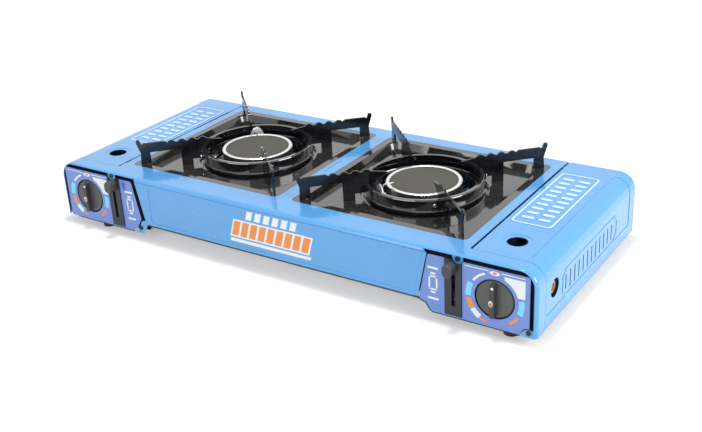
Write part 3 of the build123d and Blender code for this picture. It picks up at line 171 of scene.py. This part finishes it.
def beyond(finish, axis, first, last):
    """A mask that rises from 0 to 1 between two places along an axis, in metres."""
    place = add_node(finish, "ShaderNodeSeparateXYZ", Vector=placed(finish)).outputs[axis]
    mask = add_node(finish, "ShaderNodeMapRange", Value=place, From_Min=first, From_Max=last)
    return mask.outputs["Result"]


print("textures reach from", [round(v, 3) for v in housing_low], "to", [round(v, 3) for v in housing_high])

# %% [markdown]
# ## What a texture drives
# Colour, roughness and bump are what a texture may drive. A ramp goes between two close colours, so
# that a surface isn't dead flat, and a mask lays another colour over a part of it.

# %% Colour, roughness and bump
def tint(finish, value, first, second):
    """Base colour that goes from the first to the second colour with the value."""
    ramp = finish.tree.nodes.new("ShaderNodeValToRGB")
    ends = ((noise_low, first), (noise_high, second))
    for element, (position, colour) in zip(ramp.color_ramp.elements, ends):
        element.position = position
        element.color = (*colour, 1)
    finish.tree.links.new(value, ramp.inputs["Fac"])
    finish.tree.links.new(ramp.outputs["Color"], finish.shader.inputs["Base Color"])


def masked(finish, mask, colour):
    """The base colour so far, with another colour where the mask is 1."""
    base = finish.shader.inputs["Base Color"]
    so_far = base.links[0].from_socket
    mix = add_node(finish, "ShaderNodeMixRGB", Fac=mask, Color1=so_far, Color2=(*colour, 1))
    finish.tree.links.new(mix.outputs["Color"], base)


def dull(finish, value, low, high):
    """Roughness that goes between two levels with the value."""
    finish.tree.links.new(graded(finish, value, low, high), finish.shader.inputs["Roughness"])


def relief(finish, height, depth, strength=1.0):
    """Bump of the given depth in metres."""
    bump = add_node(finish, "ShaderNodeBump", Height=height, Distance=depth, Strength=strength)
    finish.tree.links.new(bump.outputs["Normal"], finish.shader.inputs["Normal"])


print("textures drive", [helper.__name__ for helper in (tint, masked, dull, relief)])

# %% [markdown]
# ## Azure body enamel
# The housing and the lids are pressed steel with a baked glossy paint. Up close such paint isn't a
# mirror: it has a faint orange peel, about two millimetres across, and its gloss varies a little
# where hands touch it. A very shallow noise bump gives the peel, and a broad slow noise moves the
# roughness and the colour by a few percent. The raised ribs on the lids are painted paler as a
# highlight, and since they are all that stands higher than the deck, the height of a point finds
# them. Under the front fold a thin darker line is painted shade, found by height and depth together.

# %% Body enamel
body = start_finish("body_enamel", (0.080, 0.340, 0.72), 0.24, coat_weight=0.7, coat_roughness=0.06)
tint(body, noise(body, 9.0, 3.0), (0.070, 0.315, 0.67), (0.088, 0.350, 0.73))
# the rib tops are painted paler as a highlight
rib_highlight = beyond(body, "Z", deck_z + 0.0001, deck_z + 0.0005)
masked(body, rib_highlight, (0.56, 0.73, 0.92))
# a thin darker line under the front fold is painted shade
line_top, line_foot = deck_z - 0.0040, deck_z - 0.0058
below_top = beyond(body, "Z", line_top, line_top - 0.0006)
over_foot = beyond(body, "Z", line_foot, line_foot + 0.0005)
at_front = beyond(body, "Y", front_y + 0.0012, front_y + 0.0007)
fold_shade = calculate(body, "MULTIPLY", calculate(body, "MULTIPLY", below_top, over_foot), at_front)
masked(body, fold_shade, (0.035, 0.200, 0.52))
dull(body, noise(body, 60.0, 4.0), 0.17, 0.29)
relief(body, noise(body, 520.0, 1.0), 0.00006, 0.35)
print("fold line from", round(line_foot * 1000, 1), "to", round(line_top * 1000, 1), "mm over the floor")

# %% [markdown]
# ## Black vitreous enamel
# Trays and pan supports are dipped in glass enamel and fired. It is almost black and very glossy,
# slightly wavy over a few centimetres because the glass flowed, with fine pale specks. Two layers of
# gloss, the shader's own and a coat, catch enough of the studio to show the pressed shapes.

# %% Black enamels
tray = start_finish("tray_enamel", (0.012, 0.011, 0.010), 0.12, coat_weight=0.8, coat_roughness=0.03,
                    coat_ior=1.5, specular_ior_level=0.6)
specks = add_node(tray, "ShaderNodeTexVoronoi", Vector=placed(tray), Scale=420.0).outputs["Distance"]
tint(tray, specks, (0.035, 0.033, 0.030), (0.008, 0.007, 0.007))
dull(tray, noise(tray, 45.0, 3.0), 0.08, 0.14)
relief(tray, noise(tray, 60.0, 2.0), 0.00016, 0.20)

rim = start_finish("rim_enamel", (0.005, 0.005, 0.007), 0.10, coat_weight=1.0, coat_roughness=0.02,
                   coat_ior=1.7)
tint(rim, noise(rim, 160.0, 4.0), (0.003, 0.003, 0.005), (0.009, 0.009, 0.012))
dull(rim, noise(rim, 120.0, 3.0), 0.06, 0.14)

arms = start_finish("support_enamel", (0.004, 0.004, 0.006), 0.18, coat_weight=0.25, coat_roughness=0.06)
tint(arms, noise(arms, 160.0, 4.0), (0.002, 0.002, 0.003), (0.006, 0.007, 0.010))
dull(arms, noise(arms, 220.0, 3.0), 0.10, 0.24)
relief(arms, noise(arms, 300.0, 3.0), 0.00010, 0.30)
print("enamels:", [name for name in finishes if name.endswith("enamel")])

# %% [markdown]
# ## Sheet and drawn steel
# Inner pressings such as the base pan and the cradles are zinc plated, and the zinc shows a faint
# crystal spangle, which a Voronoi texture gives. Hinge rods and springs are drawn steel, streaked
# from front to back, so their noise is stretched along Y. Every metal keeps its colour nearly flat,
# while its roughness and bump differ.

# %% Sheet and drawn steel
zinc = start_finish("zinc_sheet", (0.56, 0.58, 0.60), 0.34, metallic=1.0)
spangle = add_node(zinc, "ShaderNodeTexVoronoi", Vector=placed(zinc), Scale=150.0).outputs["Color"]
tint(zinc, spangle, (0.50, 0.52, 0.54), (0.64, 0.66, 0.68))
dull(zinc, spangle, 0.26, 0.42)

steel = start_finish("bright_steel", (0.66, 0.66, 0.67), 0.22, metallic=1.0)
dull(steel, noise(steel, 900.0, 2.0, (1, 0.1, 1)), 0.15, 0.32)
relief(steel, noise(steel, 1500.0, 2.0, (1, 0.1, 1)), 0.00004, 0.4)
print(len(finishes), "finishes so far")

# %% [markdown]
# ## Castings, pipes and brass
# The regulators and the mixing tubes are die cast and keep a fine skin. The gas pipes are a smooth
# light alloy. The hose inlets are machined brass with turning lines round an axis along X, which a
# noise makes when it changes quickly along X and slowly across.

# %% Castings, pipes and brass
alloy = start_finish("die_cast_alloy", (0.55, 0.55, 0.56), 0.45, metallic=1.0)
tint(alloy, noise(alloy, 90.0, 4.0), (0.46, 0.46, 0.47), (0.60, 0.60, 0.61))
dull(alloy, noise(alloy, 300.0, 3.0), 0.36, 0.55)
relief(alloy, noise(alloy, 1400.0, 3.0), 0.00012, 0.6)

pipe = start_finish("pipe_alloy", (0.66, 0.66, 0.67), 0.28, metallic=1.0)
dull(pipe, noise(pipe, 500.0, 3.0), 0.20, 0.38)
relief(pipe, noise(pipe, 900.0, 2.0), 0.00004, 0.4)

brass = start_finish("inlet_brass", (0.74, 0.53, 0.22), 0.24, metallic=1.0)
tint(brass, noise(brass, 120.0, 3.0), (0.64, 0.44, 0.17), (0.80, 0.58, 0.25))
dull(brass, noise(brass, 1800.0, 2.0, (1, 0.05, 0.05)), 0.16, 0.34)
relief(brass, noise(brass, 2600.0, 1.0, (1, 0.05, 0.05)), 0.00003, 0.5)
print(len(finishes), "finishes so far")

# %% [markdown]
# ## Burner metals and fastenings
# A burner's cup is plain steel that heat has coloured unevenly. The ring round its ceramic plate is
# bright steel, and its skirt is painted dark as shade, so its top is found by height. The igniter's
# hood is chromed, the rivets are bright steel, and the screws are blackened.

# %% Burner metals and fastenings
cup = start_finish("burner_steel", (0.50, 0.50, 0.50), 0.35, metallic=1.0)
tint(cup, noise(cup, 40.0, 4.0), (0.40, 0.39, 0.39), (0.56, 0.55, 0.54))
dull(cup, noise(cup, 300.0, 3.0), 0.28, 0.45)
relief(cup, noise(cup, 900.0, 2.0), 0.00005, 0.4)

clamp = start_finish("ring_steel", (0.86, 0.86, 0.86), 0.25, metallic=0.85)
ring_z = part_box("clamp_ring_right")[1].z
# the dark skirt colour is painted shade; the top keeps the steel's pale colour
tint(clamp, noise(clamp, 300.0, 2.0), (0.26, 0.25, 0.25), (0.32, 0.31, 0.31))
masked(clamp, beyond(clamp, "Z", ring_z - 0.0012, ring_z - 0.0006), (0.86, 0.86, 0.86))
dull(clamp, noise(clamp, 700.0, 2.0), 0.18, 0.34)
relief(clamp, noise(clamp, 1200.0, 2.0), 0.00003, 0.3)

hood = start_finish("hood_chrome", (0.90, 0.90, 0.91), 0.30, metallic=0.55, specular_ior_level=0.8)
tint(hood, noise(hood, 260.0, 3.0), (0.84, 0.84, 0.85), (0.92, 0.92, 0.93))
dull(hood, noise(hood, 500.0, 2.0), 0.24, 0.40)

rivet = start_finish("rivet_steel", (0.62, 0.62, 0.63), 0.25, metallic=1.0)
dull(rivet, noise(rivet, 900.0, 2.0), 0.18, 0.36)
relief(rivet, noise(rivet, 1600.0, 2.0), 0.00004, 0.4)

screw_head = start_finish("blackened_screw", (0.050, 0.048, 0.046), 0.34, metallic=0.7)
tint(screw_head, noise(screw_head, 700.0, 3.0), (0.030, 0.029, 0.028), (0.075, 0.072, 0.070))
dull(screw_head, noise(screw_head, 1100.0, 2.0), 0.26, 0.44)
print(len(finishes), "finishes so far")

# %% [markdown]
# ## Ceramic
# The glowing face of an infrared burner is a grey fireclay plate with thousands of small holes in
# neat rows. Cutting them would cost hundreds of thousands of faces, so the holes are drawn: the
# sine of x times the sine of y makes a regular field of dots, which darkens the colour as painted
# shade in the holes and presses the surface in. The igniter's insulator is the other ceramic, white and
# glazed.

# %% Ceramics
hole_rate = 2100  # radians a metre, which puts the holes 3 mm apart along each row
plate = start_finish("burner_ceramic", (0.10, 0.095, 0.085), 0.85, specular_ior_level=0.25)
split = add_node(plate, "ShaderNodeSeparateXYZ", Vector=placed(plate, (hole_rate,) * 3))
across = calculate(plate, "SINE", split.outputs["X"])
along = calculate(plate, "SINE", split.outputs["Y"])
dots = calculate(plate, "MULTIPLY", across, along)
holes = add_node(plate, "ShaderNodeMapRange", Value=dots, From_Min=-0.1, From_Max=0.55,
                 To_Min=0.75, To_Max=0.25).outputs["Result"]
# the dark of each hole is painted shade
tint(plate, holes, (0.020, 0.019, 0.017), (0.142, 0.137, 0.122))
relief(plate, holes, 0.0008, 0.8)

glaze = start_finish("white_ceramic", (0.80, 0.79, 0.76), 0.18, coat_weight=0.5)
tint(glaze, noise(glaze, 300.0, 3.0), (0.74, 0.73, 0.70), (0.84, 0.83, 0.80))
dull(glaze, noise(glaze, 200.0, 2.0), 0.12, 0.26)
print("holes every", round(1000 * tau / hole_rate, 1), "mm along a row")

# %% [markdown]
# ## Plastics and rubber
# The panel frame, the knob and the lever are moulded in black plastic with a fine spark texture.
# The knob's grip stands proud of its disc and is painted darker there, as shade. The overlay is a printed
# film, a cooler blue than the paint, with a soft gloss. Feet and leads are rubber, and so is the black of
# the strips that are painted shade.

# %% Plastics and rubber
def moulded(name, colour, roughness, grain=1500.0, depth=0.00006, spread=0.15):
    """A moulded plastic or rubber with a fine even grain."""
    finish = start_finish(name, colour, roughness)
    pale = tuple(c * (1 + spread) + 0.004 for c in colour)
    tint(finish, noise(finish, grain / 6, 4.0), colour, pale)
    dull(finish, noise(finish, grain / 3, 3.0), roughness - 0.06, roughness + 0.08)
    relief(finish, noise(finish, grain, 2.0), depth, 0.5)
    return finish


moulded("panel_plastic", (0.012, 0.014, 0.022), 0.42)
knob_finish = moulded("knob_plastic", (0.070, 0.070, 0.068), 0.36, 1900.0)
# the proud grip is painted darker as shade
masked(knob_finish, beyond(knob_finish, "Y", front_y - 0.0012, front_y - 0.0022), (0.032, 0.032, 0.033))
moulded("lever_plastic", (0.040, 0.040, 0.040), 0.38, 1900.0)
moulded("piezo_plastic", (0.03, 0.03, 0.03), 0.5)
moulded("foot_rubber", (0.016, 0.016, 0.017), 0.7, 1100.0, 0.0001)
# black for the strips of painted shade under the front
moulded("shade_strip_black", (0.010, 0.012, 0.016), 0.45, 1500.0)
moulded("lead_rubber", (0.55, 0.52, 0.48), 0.5, 1300.0)
moulded("panel_label", (0.150, 0.250, 0.600), 0.30, 2600.0, 0.00002, 0.08)
print(len(finishes), "finishes:", sorted(finishes))

# %% [markdown]
# ## Dress the metal parts
# The model's record names a finish slot for each piece. Looking the slot up, instead of listing the
# pieces again, means that no piece can be forgotten. Two kinds of piece differ from their slot: the
# screw heads are blackened, and the windshield rings have a thicker, glossier coat than the arms.

# %% Assign finishes by slot
for subpart in frame["record"]["subparts"]:
    piece = frame["nodes"][subpart["node"]]
    piece.data.materials.clear()
    piece.data.materials.append(finishes[subpart["material_slot"]])
frame["nodes"]["screws"].data.materials[0] = finishes["blackened_screw"]
for side in ("left", "right"):
    frame["nodes"][f"windshield_ring_{side}"].data.materials[0] = finishes["rim_enamel"]
bare = [name for name, piece in frame["nodes"].items() if not piece.data.materials]
print("pieces without a finish:", bare)

# %% [markdown]
# ## Printing inks
# The overlays and the front are screen printed. Screen ink lies a little unevenly and has a satin
# surface, so each ink is one flat colour with a faint noise and a very shallow bump.

# %% Inks
def ink(name, colour):
    """Satin printing ink with a slightly uneven coat."""
    finish = start_finish(name, colour, 0.38)
    tint(finish, noise(finish, 700.0, 3.0), tuple(c * 0.94 for c in colour), colour)
    relief(finish, noise(finish, 2400.0, 1.0), 0.00002, 0.4)


ink("white_ink", (0.80, 0.83, 0.88))
ink("sky_ink", (0.22, 0.66, 0.95))
ink("orange_ink", (0.83, 0.27, 0.06))
ink("red_ink", (0.62, 0.06, 0.05))
ink("navy_ink", (0.05, 0.12, 0.50))
print("inks:", [name for name in finishes if name.endswith("ink")])

# %% [markdown]
# ## Plates of ink
# Screen print could be drawn by a texture, but as a plate of its own each mark keeps a sharp edge
# and stays a real closed mesh. It is a tenth of a millimetre thick, on a plane that faces the front.
# A straight mark is one face pulled forward. An arc is one short edge spun round the knob's axis and
# pulled forward as well. Places are given as x and z in millimetres, because that is how the front
# is measured with a ruler.

# %% Helpers for plates
ink_depth = 0.00012
arc_step = 4  # degrees


def finish_piece(work, name, finish_name, body_name):
    """Turn the bmesh into an object that rides on a body."""
    bmesh.ops.recalc_face_normals(work, faces=work.faces[:])
    mesh = bpy.data.meshes.new(name)
    work.to_mesh(mesh)
    work.free()
    mesh.materials.append(finishes[finish_name])
    piece = bpy.data.objects.new(name, mesh)
    bpy.context.scene.collection.objects.link(piece)
    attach(piece, body_name)
    return piece


def thicken(work, faces, depth=ink_depth):
    """Pull flat faces towards the front to make a closed plate."""
    pulled = bmesh.ops.extrude_face_region(work, geom=faces, use_keep_orig=True)
    moved = [part for part in pulled["geom"] if isinstance(part, bmesh.types.BMVert)]
    bmesh.ops.translate(work, verts=moved, vec=(0, -depth, 0))


def flat_mark(work, y, corners, depth=ink_depth):
    """One flat mark with the given corners on the plane at y."""
    places = [Vector((x / 1000, y, z / 1000)) for x, z in corners]
    verts = [bmesh.ops.create_vert(work, co=place)["vert"][0] for place in places]
    thicken(work, [work.faces.new(verts)], depth)


def bar_mark(work, y, left, far, low, high, depth=ink_depth):
    """An upright rectangle between two x and two z."""
    flat_mark(work, y, [(left, low), (far, low), (far, high), (left, high)], depth)


def arc_mark(work, y, centre, inner, outer, first, last):
    """A field between two radii and two angles in degrees, turned from +X towards +Z."""
    axis = Vector((centre[0] / 1000, y, centre[1] / 1000))
    ray = Vector((cos(radians(first)), 0, sin(radians(first)))) / 1000
    ends = [bmesh.ops.create_vert(work, co=axis + ray * r)["vert"][0] for r in (inner, outer)]
    edge = work.edges.new(ends)
    before = set(work.faces)
    turn = last - first
    bmesh.ops.spin(work, geom=[*ends, edge], cent=axis, axis=(0, -1, 0), angle=radians(turn),
                   steps=max(3, round(turn / arc_step)), use_duplicate=False)
    thicken(work, [face for face in work.faces if face not in before])


def dot_mark(work, y, centre, radius, stretch=1.0):
    """A round dot, or an oval one whose height is stretched or squashed."""
    upright = Matrix.Rotation(radians(90), 4, "X")
    place = Matrix.Translation((centre[0] / 1000, y, centre[1] / 1000)) @ upright
    circle = bmesh.ops.create_circle(work, cap_ends=True, segments=24, radius=radius / 1000)
    bmesh.ops.scale(work, vec=(1, stretch, 1), verts=circle["verts"])
    bmesh.ops.transform(work, matrix=place, verts=circle["verts"])
    thicken(work, list({face for vert in circle["verts"] for face in vert.link_faces}))


print("ink plates are", round(ink_depth * 1000, 2), "mm thick")

# %% [markdown]
# ## Gauge round each knob
# A knob's gauge is a ring of fields: a pale wedge for full flame, blue and white fields at the
# sides, orange arcs for the igniter, and a line with a flame dot at the top. The knob's own box
# gives the centre. Both ends carry the same print, not a mirrored one, so one loop does both.

# %% Gauges
label_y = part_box("panel_overlay_right")[0].y
knob_low, knob_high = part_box("knob_right")
knob_middle = (knob_low + knob_high) / 2 * 1000
knob_x, knob_z = knob_middle.x, knob_middle.z
# each arc: inner and outer radius, first and last angle
white_arcs = ((27.6, 30.0, 112, 146), (26.4, 32.6, 214, 236))
sky_arcs = ((26.6, 32.8, -22, 10), (26.2, 32.6, 154, 185))
orange_arcs = ((26.4, 32.6, 190, 212), (28.4, 31.2, 238, 254), (27.6, 30.6, -56, -30))
# the line and the wedge's corners have x from the knob's axis and z from the floor
line_spans, line_low, line_high = ((-33.5, -6.8), (7.4, 33.3)), 73.7, 74.6
wedge_r, wedge_angles = 26.6, (17, 29, 41, 53, 65)
wedge_corners = ((10.0, 71.4), (33.2, 71.4), (33.2, 51.2))
# the flame and the pale field round it: radius and stretch
flame_z, flame_field, flame_dot = 72.6, (5.6, 0.42), (2.4, 0.6)

for side, sign in both_ends:
    cx, cz = sign * knob_x, knob_z
    work = bmesh.new()
    for left, far in line_spans:
        bar_mark(work, label_y, cx + left, cx + far, line_low, line_high)
    dot_mark(work, label_y, (cx, flame_z), *flame_field)
    wedge = [(cx + wedge_r * cos(radians(a)), cz + wedge_r * sin(radians(a))) for a in wedge_angles]
    flat_mark(work, label_y, [*wedge, *((cx + x, z) for x, z in wedge_corners)])
    for arc in white_arcs:
        arc_mark(work, label_y, (cx, cz), *arc)
    finish_piece(work, f"gauge_white_{side}", "white_ink", "body")
    work = bmesh.new()
    for arc in sky_arcs:
        arc_mark(work, label_y, (cx, cz), *arc)
    finish_piece(work, f"gauge_sky_{side}", "sky_ink", "body")
    work = bmesh.new()
    for arc in orange_arcs:
        arc_mark(work, label_y, (cx, cz), *arc)
    dot_mark(work, label_y - ink_depth, (cx, flame_z), *flame_dot)
    finish_piece(work, f"gauge_orange_{side}", "orange_ink", "body")
print("knob centre", round(knob_x, 1), round(knob_z, 1), "label front", round(label_y * 1000, 1), "mm")

# %% [markdown]
# ## Marks of the lock lever
# Beside the lever's slot two short bars show its end positions, and a plain outlined cartridge
# between them says what the lever locks. The left panel also has one small dark patch.

# %% Lever marks
lever_x = 213.6
# each bar: left and right from the lever's middle, low and high from the floor
end_bars = ((-6.2, 6.2, 60.8, 63.3), (-6.2, 6.2, 24.9, 27.4))
cartridge_sides = ((-5.2, -3.4, 37.0, 52.5), (3.4, 5.2, 37.0, 52.5))
cartridge_ends = ((-5.2, 5.2, 36.2, 38.0), (-5.2, 5.2, 51.2, 53.0))
cartridge_collars = ((-2.8, 2.8, 54.4, 56.8), (-2.8, 2.8, 32.6, 34.8))
for side, sign in both_ends:
    work = bmesh.new()
    for left, far, low, high in (*end_bars, *cartridge_sides, *cartridge_ends, *cartridge_collars):
        bar_mark(work, label_y, sign * lever_x + left, sign * lever_x + far, low, high)
    finish_piece(work, f"lever_marks_{side}", "white_ink", "body")

work = bmesh.new()
bar_mark(work, label_y, left=-222.4, far=-218.0, low=64.5, high=74.0)
finish_piece(work, "lever_patch_left", "navy_ink", "body")
print("lever marks", lever_x, "mm from the middle")

# %% [markdown]
# ## Marks on the knob
# A white dot on the grip points at the gauge, and a small red drop in a white one marks the igniting
# position. They turn with the knob, so they ride on its body.

# %% Knob marks
grip_y = knob_low.y
# each dot: x and z from the knob's axis, radius and stretch
white_dots = ((0.4, 15.5, 1.5, 1.0), (-1.0, -2.0, 2.3, 1.5))
drop_x, drop_z, drop_r, drop_stretch = -1.0, -2.6, 1.5, 1.5
for side, sign in both_ends:
    cx, cz = sign * knob_x, knob_z
    work = bmesh.new()
    for x, z, radius, stretch in white_dots:
        dot_mark(work, grip_y, (cx + x, cz + z), radius, stretch)
    finish_piece(work, f"knob_dot_{side}", "white_ink", f"knob_{side}")
    work = bmesh.new()
    dot_mark(work, grip_y - ink_depth, (cx + drop_x, cz + drop_z), drop_r, drop_stretch)
    finish_piece(work, f"knob_drop_{side}", "red_ink", f"knob_{side}")
print("grip front at", round(grip_y * 1000, 1), "mm")

# %% [markdown]
# ## Front stripes
# The middle of the front carries a plain printed device: slanted orange bars on a white band, with
# a row of small white bars over it and a white line under it. It gives the long blue front an
# accent, and says nothing.

# %% Front stripes
recess_y = front_y + 0.0004
lean_per_height = 0.3


def slanted_bars(work, y, count, first_x, pitch, width, low, high):
    """A row of equal bars that lean to the right."""
    lean = (high - low) * lean_per_height
    for index in range(count):
        x = first_x + index * pitch
        flat_mark(work, y, [(x, low), (x + width, low), (x + width + lean, high), (x + lean, high)])


work = bmesh.new()
slanted_bars(work, recess_y, count=6, first_x=-31.0, pitch=12.4, width=8.2, low=64.0, high=75.0)
slanted_bars(work, recess_y, count=1, first_x=-55.5, pitch=0, width=112.0, low=38.5, high=61.5)
slanted_bars(work, recess_y, count=1, first_x=-56.0, pitch=0, width=114.0, low=32.5, high=36.5)
finish_piece(work, "front_white_bars", "white_ink", "body")
work = bmesh.new()
slanted_bars(work, recess_y - ink_depth, count=9, first_x=-53.0, pitch=12.3, width=9.2, low=40.5, high=59.5)
finish_piece(work, "front_orange_bars", "orange_ink", "body")
print("stripes on the recess at y", round(recess_y * 1000, 1), "mm")

# %% [markdown]
# ## Shade strips and trim
# The lower edge of the front is bare sheet, and under it, between the two steps, a black strip is
# painted shade; a thinner one is painted shade at the foot of each panel. They only show as a dark
# line. The right panel also has a narrow painted trim beside its slanted edge. All are thin plates.

# %% Painted shade strips and painted trim
sheet_depth = 0.001
shade_strip_y, panel_foot_y, trim_y = front_y + 0.0009, front_y + 0.0012, front_y + 0.0010
work = bmesh.new()
# a black strip of painted shade under the front's lower edge
bar_mark(work, shade_strip_y, left=-184.5, far=194.5, low=21.6, high=23.3, depth=sheet_depth)
finish_piece(work, "front_shade_strip", "shade_strip_black", "body")

# corners of the thinner strips of painted shade at the foot of each panel
panel_feet = {
    "right": [(195.2, 23.6), (198.2, 22.0), (204.2, 19.9), (206.2, 18.2), (210.8, 11.9), (213.0, 10.3),
              (311.4, 10.3), (311.4, 8.8), (212.2, 8.8), (209.2, 10.6), (204.4, 17.2), (203.0, 18.5),
              (196.8, 20.5), (193.6, 21.7)],
    "left": [(-213.4, 9.9), (-311.0, 9.9), (-311.0, 8.8), (-213.0, 8.8)],
}
for side, corners in panel_feet.items():
    work = bmesh.new()
    flat_mark(work, panel_foot_y, corners, sheet_depth)
    finish_piece(work, f"panel_shade_strip_{side}", "shade_strip_black", "body")

work = bmesh.new()
flat_mark(work, trim_y, [(202.1, 81.2), (206.2, 77.0), (194.9, 24.4), (190.0, 23.4)], sheet_depth)
finish_piece(work, "front_trim_right", "body_enamel", "body")
print("edging and trim are", sheet_depth * 1000, "mm thick")

# %% [markdown]
# ## Nut of the hose inlet
# Inside the round port in each end sits the brass nut that a hose screws onto. It is one cylinder,
# turned to lie along X. Its outer face is inset and sunk to give the bore, which needs no second
# object as a boolean would.

# %% Hose nuts
nut_r, nut_length = 0.0064, 0.005
nut_wall, nut_chamfer, bore_depth = 0.0018, 0.0004, 0.0022
for side, sign in both_ends:
    inlet_low, inlet_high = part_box(f"hose_inlet_{side}")
    tip = (inlet_low + inlet_high) / 2
    tip.x = inlet_high.x if sign > 0 else inlet_low.x
    along_x = Matrix.Translation(tip) @ Matrix.Rotation(radians(90), 4, "Y")
    work = bmesh.new()
    bmesh.ops.create_cone(work, cap_ends=True, segments=32, radius1=nut_r, radius2=nut_r, depth=nut_length)
    bmesh.ops.transform(work, matrix=along_x, verts=work.verts[:])
    caps = [face for face in work.faces if len(face.verts) > 4]
    outer = [max(caps, key=lambda face: face.calc_center_median().x * sign)]
    bmesh.ops.inset_region(work, faces=outer, thickness=nut_wall, depth=0.0)
    bmesh.ops.inset_region(work, faces=outer, thickness=nut_chamfer, depth=-bore_depth)
    finish_piece(work, f"hose_nut_{side}", "inlet_brass", "body")
print("hose nuts stand", round(abs(tip.x) * 1000, 1), "mm from the middle")

# %% [markdown]
# ## Yoke springs
# Behind each lock yoke sits a coil spring, and the yoke presses it from nearly 18 to nearly 10 mm
# when the lever goes down. A rigid coil would be cut by the yoke, so the model's spring is hidden and
# replaced by a coil with a mesh of its own, which is not squashed with the joint here. It is one
# small ring, spun round the rod's axis while it moves along it.

# %% Yoke springs
wire_r, turns, steps_per_turn = 0.00045, 5, 18
for side in ("left", "right"):
    spring_low, spring_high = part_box(f"yoke_spring_{side}")
    middle = (spring_low + spring_high) / 2
    length = spring_high.y - spring_low.y
    coil_r = (spring_high.x - spring_low.x) / 2 - wire_r
    steps = turns * steps_per_turn
    advance = (length - 2 * wire_r) / steps
    work = bmesh.new()
    ring = bmesh.ops.create_circle(work, cap_ends=False, segments=8, radius=wire_r)["verts"]
    bmesh.ops.translate(work, verts=ring, vec=(middle.x + coil_r, spring_low.y + wire_r, middle.z))
    bmesh.ops.spin(work, geom=[*ring, *work.edges[:]], cent=middle, axis=(0, 1, 0), dvec=(0, advance, 0),
                   angle=radians(360 * turns), steps=steps, use_duplicate=False)
    bmesh.ops.holes_fill(work, edges=[edge for edge in work.edges if edge.is_boundary], sides=0)
    coil = finish_piece(work, f"yoke_coil_{side}", "bright_steel", "body")
    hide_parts(f"yoke_spring_{side}")
    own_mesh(coil)
print("springs are", round(length * 1000, 1), "mm long at rest")

# %% [markdown]
# ## Surround
# A white world shows as white to the camera and to gloss and glass. To matt surfaces it gives only
# about half of that light, so that a colour renders about as it is written.

# %% Surround
matt_level = 0.55
world = bpy.data.worlds.new("studio")
bpy.context.scene.world = world
world.use_nodes = True
surround = SimpleNamespace(tree=world.node_tree)
rays = add_node(surround, "ShaderNodeLightPath").outputs
seen = calculate(surround, "MAXIMUM", rays["Is Camera Ray"], rays["Is Glossy Ray"])
seen = calculate(surround, "MAXIMUM", seen, rays["Is Transmission Ray"])
strength = add_node(surround, "ShaderNodeMapRange", Value=seen, To_Min=matt_level, To_Max=1.0)
background = world.node_tree.nodes["Background"]
background.inputs["Color"].default_value = (1, 1, 1, 1)
world.node_tree.links.new(strength.outputs["Result"], background.inputs["Strength"])
print("surround lights matt surfaces at", matt_level)

# %% [markdown]
# ## Floor
# The floor is matt pale paper that keeps the soft shadow. A little glow lifts it for the camera and
# for gloss. Away from the stove the glow grows until it is as white as the surround, so that no
# horizon shows.

# %% Floor
floor_half = 6.0
glow_near, glow_far = 0.25, 1.0
rise_first, rise_last = 0.75, 1.8
work = bmesh.new()
bmesh.ops.create_grid(work, x_segments=1, y_segments=1, size=floor_half)
mesh = bpy.data.meshes.new("studio_floor")
work.to_mesh(mesh)
work.free()
floor = bpy.data.objects.new("studio_floor", mesh)
bpy.context.scene.collection.objects.link(floor)

paper = bpy.data.materials.new("studio_paper")
paper.use_nodes = True
ground = SimpleNamespace(tree=paper.node_tree)
rays = add_node(ground, "ShaderNodeLightPath").outputs
seen = calculate(ground, "MAXIMUM", rays["Is Camera Ray"], rays["Is Glossy Ray"])
away = add_node(ground, "ShaderNodeVectorMath", Vector=placed(ground))
away.operation = "LENGTH"
whiter = add_node(ground, "ShaderNodeMapRange", Value=away.outputs["Value"],
                  From_Min=rise_first, From_Max=rise_last, To_Min=glow_near, To_Max=glow_far)
lift = calculate(ground, "MULTIPLY", seen, whiter.outputs["Result"])
glow = add_node(ground, "ShaderNodeEmission", Strength=lift)
matt = add_node(ground, "ShaderNodeBsdfDiffuse", Color=(0.78, 0.78, 0.79, 1))
total = add_node(ground, "ShaderNodeAddShader")
for socket, shader in zip(total.inputs, (matt, glow)):
    ground.tree.links.new(shader.outputs[0], socket)
ground.tree.links.new(total.outputs[0], ground.tree.nodes["Material Output"].inputs["Surface"])
mesh.materials.append(paper)
print("floor is", 2 * floor_half, "m wide and white from", rise_last, "m out")

# %% [markdown]
# ## Lamps
# A small lamp straight above draws the edge of the shadow close to the body. Two large soft boxes
# fill from the right and from the front. None stands where the glossy trays would mirror it.

# %% Lamps
def soft_lamp(name, place, target, size, power):
    """A rectangular soft box that faces its target."""
    lamp = bpy.data.lights.new(name, "AREA")
    lamp.shape = "RECTANGLE"
    lamp.size, lamp.size_y = size
    lamp.energy = power
    box = bpy.data.objects.new(name, lamp)
    bpy.context.scene.collection.objects.link(box)
    aim = (Vector(target) - Vector(place)).to_track_quat("-Z", "Y")
    box.matrix_world = Matrix.Translation(place) @ aim.to_matrix().to_4x4()


soft_lamp("top_box", (0.0, 0.0, 2.2), target=(0, 0, 0.05), size=(0.24, 0.2), power=19)
soft_lamp("side_box", (2.2, 0.2, 1.0), target=(0.2, 0, 0.05), size=(1.2, 1.0), power=34)
soft_lamp("front_box", (-0.3, -2.4, 1.2), target=(0, 0, 0.05), size=(2.0, 1.2), power=24)
bpy.context.scene.view_settings.view_transform = "Standard"
print("lamps:", sorted(lamp.name for lamp in bpy.data.lights))
